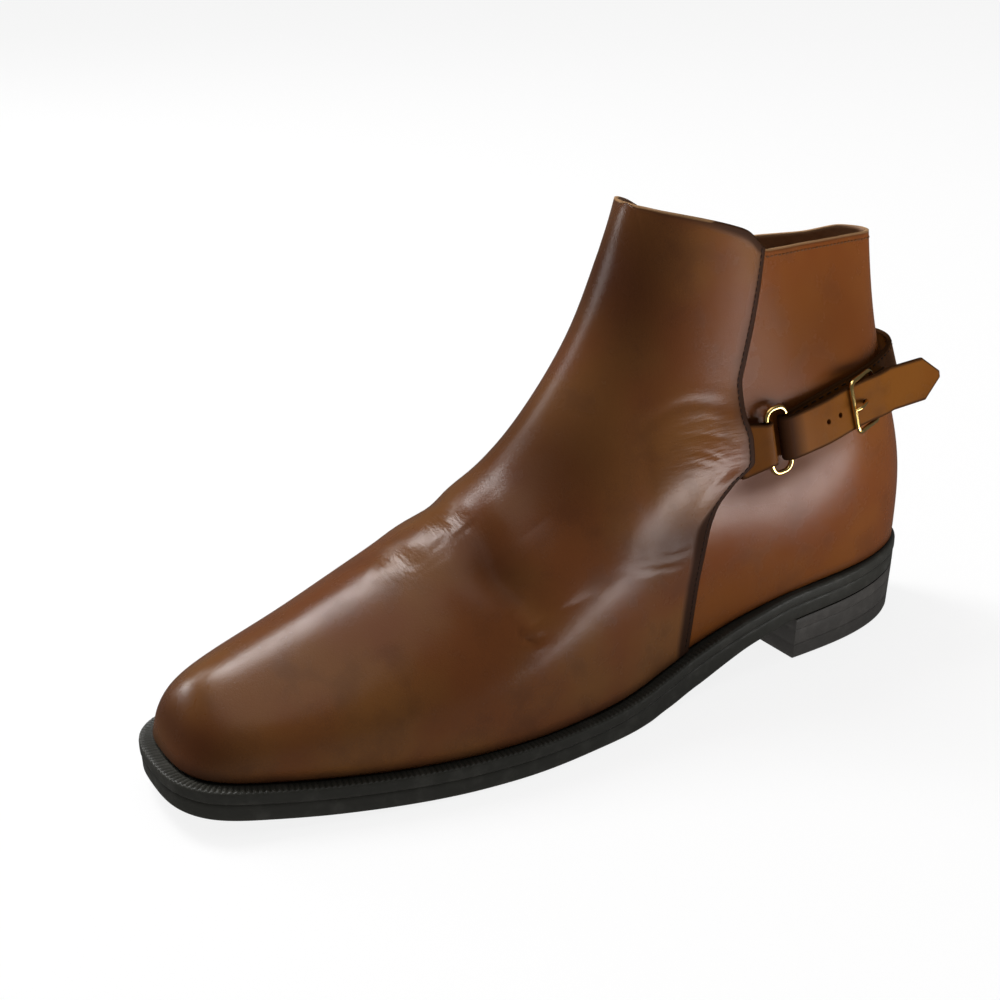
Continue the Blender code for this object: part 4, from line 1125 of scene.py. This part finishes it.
def add_outsole(look):
    travel = sole_columns(OUTSOLE_STEP)
    profile = (
        # inset, rise
        (6.0, 0.0),
        (1.6, 0.0),
        (0.7, 0.35),
        (0.45, 1.0),
        (0.4, 2.8),
        (0.35, 4.6),
        (0.4, 5.7),
        (0.75, OUTSOLE_THICK),
        (9.0, OUTSOLE_THICK),
    )
    station = outline_at(1, travel, 0.0)[:, 0]
    drop = along(WAIST_DROP, np.clip(station, WAIST_DROP[0][0], WAIST_DROP[-1][0]))
    rings = []
    for inset, rise in profile:
        rings.append(sole_ring(travel, inset, rise - drop * max(0.0, 1 - rise / WAIST_FADE)))
    ring_solid("outsole_edge", rings, True, look, "outsole")


def add_heel(look):
    fine = np.linspace(0, 0.5 * TOE_TRAVEL, 400)
    breast = {side: np.interp(HEEL_BREAST, outline_at(side, fine, 0.0)[:, 0], fine) for side in (1, -1)}
    spread = np.linspace(0, 1, 90)
    profile = (
        # share of the height, inset past the taper
        (0.0, 1.2),
        (0.03, 0.3),
        (0.08, 0.0),
        (0.34, 0.0),
        (0.36, 0.25),
        (0.38, 0.0),
        (0.72, 0.0),
        (0.74, 0.2),
        (0.76, 0.0),
        (0.97, 0.0),
        (1.0, 0.3),
    )
    rings = []
    for share, inset in profile:
        ring = []
        for side in (1, -1):
            taper = HEEL_TAPER + (HEEL_STEP - HEEL_TAPER) * share
            plan = outline_at(side, spread * breast[side], taper + inset)
            plan[-1, 0] = HEEL_BREAST - 0.5 * inset
            ring.append(np.column_stack([plan, share * (underside(plan[:, 0]) - GAP)]))
        rings.append(ring)
    ring_solid("heel_block", rings, False, look, "heel")


# Strap and hardware.
class AnkleSkin:
    """The upper's face round the ankle, read by travel and height."""

    def __init__(self):
        levels = np.linspace(*ANKLE_LEVELS)
        self.travel = np.linspace(*ANKLE_TRAVEL) * TOE_TRAVEL
        self.skin = upper_surface([self.travel] * len(levels), levels)

    def at_height(self, heights):
        """A run of points round the ankle, one for each travel, each at its own height."""
        run = np.empty((len(self.travel), 3))
        for i in range(len(self.travel)):
            column = self.skin[:, i]
            for axis in range(3):
                run[i, axis] = np.interp(heights[i], column[:, 2], column[:, axis])
        return run

    def normals(self, run):
        """Outward normals along such a run."""
        lower = self.at_height(run[:, 2] - ANKLE_STEP)
        normal = np.cross(run - lower, np.gradient(run, axis=0))
        outward = np.sign((normal * (run - np.array(ANKLE_MIDDLE))).sum())
        return outward * unit(normal)

    def route(self, table):
        """The run whose heights follow a table by station, the same on both sides, with its normals."""
        heights = np.full(len(self.travel), ANKLE_MIDDLE[2])
        first, last = table[0][0], table[-1][0]
        for _ in range(4):
            run = self.at_height(heights)
            heights = along([row[:2] for row in table], np.clip(run[:, 0], first, last))
        run = self.at_height(heights)
        return run, self.normals(run)

    def outer_side(self, table, stations, clearance):
        """Points and normals on the outer side of such a run, at stations, each with its clearance."""
        run, normals = self.route(table)
        outer = self.travel >= 0
        run, normals = run[outer], normals[outer]
        point = np.stack([np.interp(stations, run[:, 0], run[:, k]) for k in range(3)], -1)
        normal = unit(np.stack([np.interp(stations, run[:, 0], normals[:, k]) for k in range(3)], -1))
        return point + normal * np.broadcast_to(clearance, len(point))[:, None], normal


def smooth_line(line, steps):
    """A smooth curve through rows of points, with the given number of points."""
    length = run_length(line)
    return natural_spline(length, line, np.linspace(0, length[-1], steps))


def half_turn(bar, normal, forward, radius):
    """Points and outward directions of a half turn round a bar, from below it over its front to above it."""
    angles = np.linspace(-np.pi / 2, np.pi / 2, 15)[:, None]
    outward = np.cos(angles) * forward + np.sin(angles) * normal
    return bar + radius * outward, outward


def folded(skin, table, stations, low, high, turn, turn_out):
    """Middle line and outward side of a strip that runs under a bar, turns round it and comes back above."""
    lower, lower_out = skin.outer_side(table, stations, low)
    upper, upper_out = skin.outer_side(table, stations[::-1], high[::-1])
    middle = np.concatenate([lower, turn, upper])
    return middle, np.concatenate([-lower_out, turn_out, upper_out])


def ring_bars(skin):
    """Middle of the ring's rear and front bar, the way out from the boot and the way across the strap."""
    reach = RING_LONG / 2 - RING_WIRE
    stations = np.array([RING_STATION - reach, RING_STATION + reach])
    bars, normals = skin.outer_side(UNDER_LAYER, stations, RING_BAR_CLEAR)
    normal = unit(normals.sum(0))
    across = unit(np.cross(bars[1] - bars[0], normal))
    return bars, normal, across * np.sign(across[2])


def rounded_frame(bars, across, tall, corner):
    """Closed middle line of a flat wire frame with two bars, rounded corners and the given height."""
    middle = bars.mean(0)
    lengthwise = unit(bars[1] - bars[0])
    long_half = np.linalg.norm(bars[1] - bars[0]) / 2
    points = []
    for sign_long, sign_tall, start in ((1, 1, 0), (-1, 1, 1), (-1, -1, 2), (1, -1, 3)):
        turn = np.array([sign_long * (long_half - corner), sign_tall * (tall / 2 - corner)])
        for angle in np.linspace(start, start + 1, 13) * np.pi / 2:
            flat = turn + corner * np.array([np.cos(angle), np.sin(angle)])
            points.append(middle + flat[0] * lengthwise + flat[1] * across)
    return np.array(points)


def ribbon(name, middle, normals, widths, thickness, look, slot, node, shade_and_tone):
    """A leather strip with rounded, burnished edges, along a middle line. Its face looks along normals."""
    run = unit(np.gradient(middle, axis=0))
    across = unit(np.cross(normals, run))
    face = np.cross(run, across)
    half = np.asarray(widths)[:, None] / 2
    deep = thickness / 2
    soft = 0.3 * thickness
    near = np.minimum(EDGE_BAND, 0.6 * half)
    rows, burnt = [], []
    for quarter, (side, up) in enumerate(((1, 1), (-1, 1), (-1, -1), (1, -1))):
        for angle in np.linspace(quarter, quarter + 1, 4) * np.pi / 2:
            wide = side * (half - soft) + soft * np.cos(angle)
            rows.append((wide, up * (deep - soft) + soft * np.sin(angle)))
            burnt.append(1.0)
        if quarter % 2 == 0:
            for place in (half - near, 0.35 * half, -0.35 * half, near - half):
                rows.append((side * place, up * deep))
                burnt.append(0.0)
    grid = np.stack([middle + across * x + face * z for x, z in rows], 1)
    count = len(rows)
    index = np.arange(grid[..., 0].size).reshape(grid.shape[:2])
    ahead = np.roll(index, -1, 1)
    faces = np.stack([index[:-1], ahead[:-1], ahead[1:], index[1:]], -1).reshape(-1, 4).tolist()
    faces += [index[0][::-1].tolist(), index[-1].tolist()]
    edge = np.tile(burnt, (len(middle), 1))
    edge[-1] = 1.0
    values = {
        "edge": 0.85 * edge.ravel(),
        # Painted shade where the strap turns round the ring; the tab and the chape are darker all over.
        "shade_and_tone": np.repeat(np.broadcast_to(shade_and_tone, len(middle)), count),
    }
    return add_mesh(name, grid.reshape(-1, 3), faces, (look,), (node,), values, sharp=60)


def punch(piece, places, ways, radius):
    """Round holes through a piece, at places along the given ways."""
    mesh = bpy.data.meshes.new("punch")
    shape = bmesh.new()
    for place, way in zip(to_world(places), ways):
        way = Vector((way[1], -way[0], way[2]))
        facing = Matrix.Translation(place) @ way.to_track_quat("Z", "Y").to_matrix().to_4x4()
        bmesh.ops.create_cone(shape, cap_ends=True, segments=24, radius1=radius * MM, radius2=radius * MM,
                              depth=2.6 * MM, matrix=facing)
    shape.to_mesh(mesh)
    shape.free()
    tool = bpy.data.objects.new("punch", mesh)
    bpy.context.scene.collection.objects.link(tool)
    cut = piece.modifiers.new("Holes", "BOOLEAN")
    cut.object = tool
    cut.solver = "EXACT"
    bpy.context.view_layer.update()
    done = bpy.data.meshes.new_from_object(piece.evaluated_get(bpy.context.evaluated_depsgraph_get()))
    piece.modifiers.remove(cut)
    piece.data = done
    bpy.data.objects.remove(tool, do_unlink=True)


def top_clearance(stations):
    """Clearance of the strap's top layer from the boot, at its middle."""
    return along([(row[0], row[2]) for row in TOP_LAYER], stations)


def strap_route(skin):
    """The strap's middle line and outward side: from the vamp's inner edge round the heel, and back."""
    run, normals = skin.route(UNDER_LAYER)
    bars, ring_normal, _ = ring_bars(skin)
    outer = skin.travel >= 0
    loose = ease(1 - run[:, 0] / LOOSE_FROM)
    loose /= loose.max()
    clear = STRAP_CLEAR + STRAP_THICK / 2 + STRAP_LOOSE * loose
    under = run + normals * clear[:, None]
    kept = np.where(outer, run[:, 0] < bars[0][0] - TURN_LEAD, run[:, 0] < STRAP_START)
    under_rows = resample(np.concatenate([under[kept], -normals[kept]], 1), 1.2)
    forward = unit(bars[1] - bars[0])
    turn, turn_out = half_turn(bars[0], ring_normal, forward, RING_WIRE + GAP + STRAP_THICK / 2)
    stations = np.arange(TOP_LAYER[-1][0] - 2 * TURN_LEAD, TOP_LAYER[0][0], -1.0)
    top, top_out = skin.outer_side(TOP_LAYER, stations, top_clearance(stations))
    free = resample(np.array([top[-1], STRAP_END]), 1.0)[1:]
    free_out = np.repeat(top_out[-1:], len(free), 0)
    middle = np.concatenate([under_rows[:, :3], turn, top, free])
    outward = np.concatenate([under_rows[:, 3:], turn_out, top_out, free_out])
    return middle, outward


def add_strap(skin, leather, thread):
    middle, outward = strap_route(skin)
    from_end = run_length(middle)[-1] - run_length(middle)
    widths = STRAP_POINT_WIDTH + (STRAP_WIDTH - STRAP_POINT_WIDTH) * np.clip(from_end / STRAP_POINT, 0, 1)
    bars, _, _ = ring_bars(skin)
    from_ring = np.linalg.norm(middle - bars[0], axis=1)
    # Painted shade on the strap where it turns round the ring's rear bar.
    shade_and_tone = 0.95 * ease(1 - (from_ring - 2.0) / 5.0)
    sizes = widths, STRAP_THICK
    piece = ribbon("strap_leather", middle, outward, *sizes, leather, "tan_leather", "strap", shade_and_tone)
    back = np.arange(len(middle)) > np.argmin(from_ring)
    holes = [np.argmin(np.abs(middle[:, 0] - station) + 1e3 * ~back) for station in HOLES]
    punch(piece, middle[holes], outward[holes], HOLE_RADIUS)

    under = slice(4, np.argmin(from_ring) - 6)
    run = unit(np.gradient(middle, axis=0))
    across = unit(np.cross(outward, run))
    for name, side in (("strap_stitches_upper", 1), ("strap_stitches_lower", -1)):
        line = middle - outward * STRAP_THICK / 2 + side * across * (STRAP_WIDTH / 2 - STRAP_ROW)
        add_stitches(name, line[under], -outward[under], *STRAP_STITCH, thread, "tan_leather")


def add_ring(skin, brass):
    bars, _, across = ring_bars(skin)
    points = rounded_frame(bars, across, RING_TALL - 2 * RING_WIRE, RING_CORNER)
    add_wire("ring_wire", points, RING_WIRE, brass, True, ("ring",))


def add_ring_tab(skin, leather):
    """Two layers from the rear edge of the vamp, joined by a half turn round the ring's front bar."""
    bars, normal, _ = ring_bars(skin)
    radius = RING_WIRE + GAP + TAB_THICK / 2
    turn, turn_out = half_turn(bars[1], normal, unit(bars[0] - bars[1]), radius)
    steps = 12
    stations = np.linspace(TAB_START, bars[1][0] + TURN_LEAD, steps)
    low = np.linspace(TAB_CLEAR + TAB_THICK / 2, RING_BAR_CLEAR - radius, steps)
    high = np.linspace(2 * TAB_CLEAR + TAB_THICK * 1.5, RING_BAR_CLEAR + radius, steps)
    middle, outward = folded(skin, UNDER_LAYER, stations, low, high, turn, turn_out)
    taper = np.linspace(TAB_WIDTH_AT_VAMP, TAB_WIDTH_AT_RING, steps)
    widths = np.concatenate([taper, np.full(len(turn), TAB_WIDTH_AT_RING), taper[::-1]])
    ribbon("ring_tab_leather", middle, outward, widths, TAB_THICK, leather, "tan_leather", "ring_tab", 0.25)


def buckle_bars(skin):
    """Middle of the buckle's front and rear bar, and the way across the strap."""
    rear_station = BUCKLE_STATION - (BUCKLE_LONG - 2 * BUCKLE_WIRE)
    front_clear = top_clearance(BUCKLE_STATION)[0] + (STRAP_THICK / 2 + GAP + BUCKLE_WIRE)
    clearance = np.array([front_clear, REAR_BAR_CLEAR])
    bars, normals = skin.outer_side(TOP_LAYER, np.array([BUCKLE_STATION, rear_station]), clearance)
    across = unit(np.cross(bars[1] - bars[0], normals.sum(0)))
    return bars, normals, across * np.sign(across[2])


def add_buckle(skin, brass, leather):
    bars, normals, across = buckle_bars(skin)
    points = rounded_frame(bars, across, BUCKLE_TALL - 2 * BUCKLE_WIRE, BUCKLE_CORNER)
    add_wire("buckle_frame_wire", points, BUCKLE_WIRE, brass, True, ("buckle_frame",))

    prong = np.array(PRONG)
    line, _ = skin.outer_side(TOP_LAYER, BUCKLE_STATION - prong[:, 0], prong[:, 1])
    radii = PRONG_RADIUS * np.interp(np.linspace(0, 1, 40), (0, 0.8, 1), (1, 0.95, 0.6))
    add_wire("buckle_prong_wire", smooth_line(line, 40), radii, brass, False, ("buckle_prong",))

    radius = BUCKLE_WIRE + CHAPE_CLEAR + CHAPE_THICK / 2
    forward = unit(bars[0] - bars[1])
    forward = unit(forward - (forward @ normals[1]) * normals[1])
    turn, turn_out = half_turn(bars[1], normals[1], forward, radius)
    stations = np.linspace(bars[1][0] - CHAPE_LONG, bars[1][0] - TURN_LEAD, 12)
    low = np.full(len(stations), REAR_BAR_CLEAR - radius)
    high = np.full(len(stations), REAR_BAR_CLEAR + radius)
    middle, outward = folded(skin, TOP_LAYER, stations, low, high, turn, turn_out)
    widths = np.full(len(middle), CHAPE_WIDTH)
    ribbon("chape_leather", middle, outward, widths, CHAPE_THICK, leather, "tan_leather", "buckle_chape", 0.3)


# Stage, light and camera.
CAMERA_TARGET = Vector((0.0, -0.114, 0.060))
CAMERA_AZIMUTH = radians(55.98)
CAMERA_ELEVATION = radians(23.60)
CAMERA_DISTANCE = 0.541
CAMERA_LENS = 55.08
CAMERA_TURN = radians(2.6195)
CAMERA_TILT = radians(1.1222)
ROOM_LIGHT = 0.10
CARD_TURN = -22.0
WINDOW_DISTANCE = 2.0
FLOOR_REACH = 12.0
FLOOR_DROP = 0.0002
WALL_HIGH = 10.0


def add_camera():
    camera = bpy.data.objects.new("camera", bpy.data.cameras.new("camera"))
    camera.data.lens = CAMERA_LENS
    camera.data.sensor_width = 36.0
    bpy.context.scene.collection.objects.link(camera)
    facing = Matrix.Rotation(CAMERA_AZIMUTH, 3, "Z") @ Matrix.Rotation(radians(90) - CAMERA_ELEVATION, 3, "X")
    back = facing @ Vector((0, 0, 1))
    aim = facing @ Matrix.Rotation(CAMERA_TURN, 3, "Y") @ Matrix.Rotation(CAMERA_TILT, 3, "X")
    camera.matrix_world = Matrix.Translation(CAMERA_TARGET + CAMERA_DISTANCE * back) @ aim.to_4x4()
    bpy.context.scene.camera = camera


def add_sun(name, azimuth, elevation, angle, strength):
    """A far and soft light from the given side. Its angle in degrees is how wide it looks."""
    light = bpy.data.lights.new(name, "SUN")
    light.angle = radians(angle)
    light.energy = strength
    lamp = bpy.data.objects.new(name, light)
    lamp.rotation_euler = (radians(90 - elevation), 0.0, radians(azimuth))
    bpy.context.scene.collection.objects.link(lamp)


def add_area(name, turn, place, size, power):
    """A rectangular light that faces down before its turn."""
    light = bpy.data.lights.new(name, "AREA")
    light.shape = "RECTANGLE"
    light.size, light.size_y = size
    light.energy = power
    lamp = bpy.data.objects.new(name, light)
    lamp.rotation_euler = turn
    lamp.location = place
    bpy.context.scene.collection.objects.link(lamp)


def add_window(name, azimuth, elevation, size, power):
    """A bright window, seen from the boot at the given azimuth and elevation."""
    turn = Euler((radians(90 - elevation), 0.0, radians(azimuth)))
    place = CAMERA_TARGET + WINDOW_DISTANCE * (turn.to_matrix() @ Vector((0, 0, 1)))
    add_area(name, turn, place, size, power)


def add_room():
    world = bpy.data.worlds.new("room")
    world.use_nodes = True
    world.node_tree.nodes["Background"].inputs["Color"].default_value = (1.0, 1.0, 1.0, 1.0)
    world.node_tree.nodes["Background"].inputs["Strength"].default_value = ROOM_LIGHT
    bpy.context.scene.world = world


def add_sheet(name, corners, faces, shade, glow):
    """A plain white sheet with a glow of its own, which shiny surfaces don't mirror."""
    look = Look(name + "_white", (shade, shade, shade), 0.9, specular=0.0)
    look.shader.inputs["Emission Color"].default_value = (1.0, 1.0, 1.0, 1.0)
    look.shader.inputs["Emission Strength"].default_value = glow
    mesh = bpy.data.meshes.new(name)
    mesh.from_pydata(corners, [], faces)
    mesh.materials.append(look.material)
    sheet = bpy.data.objects.new(name, mesh)
    sheet.visible_glossy = False
    bpy.context.scene.collection.objects.link(sheet)
    return sheet


def add_stage():
    """A white floor with walls far off, soft windows, and a bright card that the heel's side mirrors."""
    square = [(x * FLOOR_REACH, y * FLOOR_REACH) for x, y in ((-1, -1), (1, -1), (1, 1), (-1, 1))]
    floor = add_sheet("floor", [(*place, 0.0) for place in square], [(0, 1, 2, 3)], 0.12, 0.86)
    floor.location.z = -FLOOR_DROP
    rim = [(*place, high) for high in (0.0, WALL_HIGH) for place in square]
    sides = [(k, (k + 1) % 4, (k + 1) % 4 + 4, k + 4) for k in range(4)]
    wall = add_sheet("wall", rim, sides, 0.0, 0.95)
    wall.visible_diffuse = False

    add_room()
    bpy.context.scene.view_settings.view_transform = "Standard"
    add_window("window_high", -68.0, 60.0, (0.5, 1.07), 34.0)
    add_window("window_low", -67.0, 30.0, (0.5, 0.7), 4.4)
    add_window("lamp", -61.0, 13.0, (0.35, 0.35), 5.8)
    add_area("card", (radians(180), 0.0, radians(CARD_TURN)), (0.363, 0.211, 0.002), (0.28, 0.5), 5.2)
    add_sun("overhead", 0.0, 88.0, 60.0, 1.0)


TAN = calf_leather(
    "tan_calf",
    plain=(0.135, 0.036, 0.0065),
    warm=(0.155, 0.047, 0.008),
    deep=(0.075, 0.023, 0.006),
    edge=(0.03, 0.011, 0.005),
    shine=0.2,
)
AMBER = calf_leather(
    "amber_calf",
    plain=(0.118, 0.039, 0.0065),
    warm=(0.13, 0.046, 0.008),
    deep=(0.03, 0.012, 0.006),
    edge=(0.022, 0.010, 0.005),
    shine=0.02,
)
CHESTNUT = calf_leather(
    "chestnut_calf",
    plain=(0.125, 0.040, 0.012),
    warm=(0.14, 0.055, 0.015),
    deep=(0.05, 0.017, 0.007),
    edge=(0.022, 0.010, 0.006),
    shine=0.2,
)
LINING = plain_leather("lining_leather_fine", (0.30, 0.16, 0.08), (0.22, 0.11, 0.05), 0.65)
RIM = cut_edge("cut_edge", (0.34, 0.20, 0.10), (0.010, 0.005, 0.0035))
BLACK_EDGE = edge_leather("black_edge", (0.030, 0.029, 0.024), (0.048, 0.046, 0.039), 0.42)
RUBBER = edge_leather("black_heel", (0.062, 0.057, 0.052), (0.085, 0.078, 0.071), 0.45)
BRASS = polished_brass()
DARK_THREAD = waxed_thread("dark_thread", (0.022, 0.010, 0.006))
TAN_THREAD = waxed_thread("tan_thread", (0.10, 0.04, 0.014))

add_upper(TAN, RIM, LINING, TAN_THREAD)
add_vamp(CHESTNUT, RIM, LINING, DARK_THREAD)
add_welt(BLACK_EDGE)
add_outsole(BLACK_EDGE)
add_heel(RUBBER)
SKIN = AnkleSkin()
add_strap(SKIN, AMBER, DARK_THREAD)
add_ring(SKIN, BRASS)
add_ring_tab(SKIN, AMBER)
add_buckle(SKIN, BRASS, AMBER)
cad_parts["insole"].material_slots[0].material = LINING
add_stage()
add_camera()
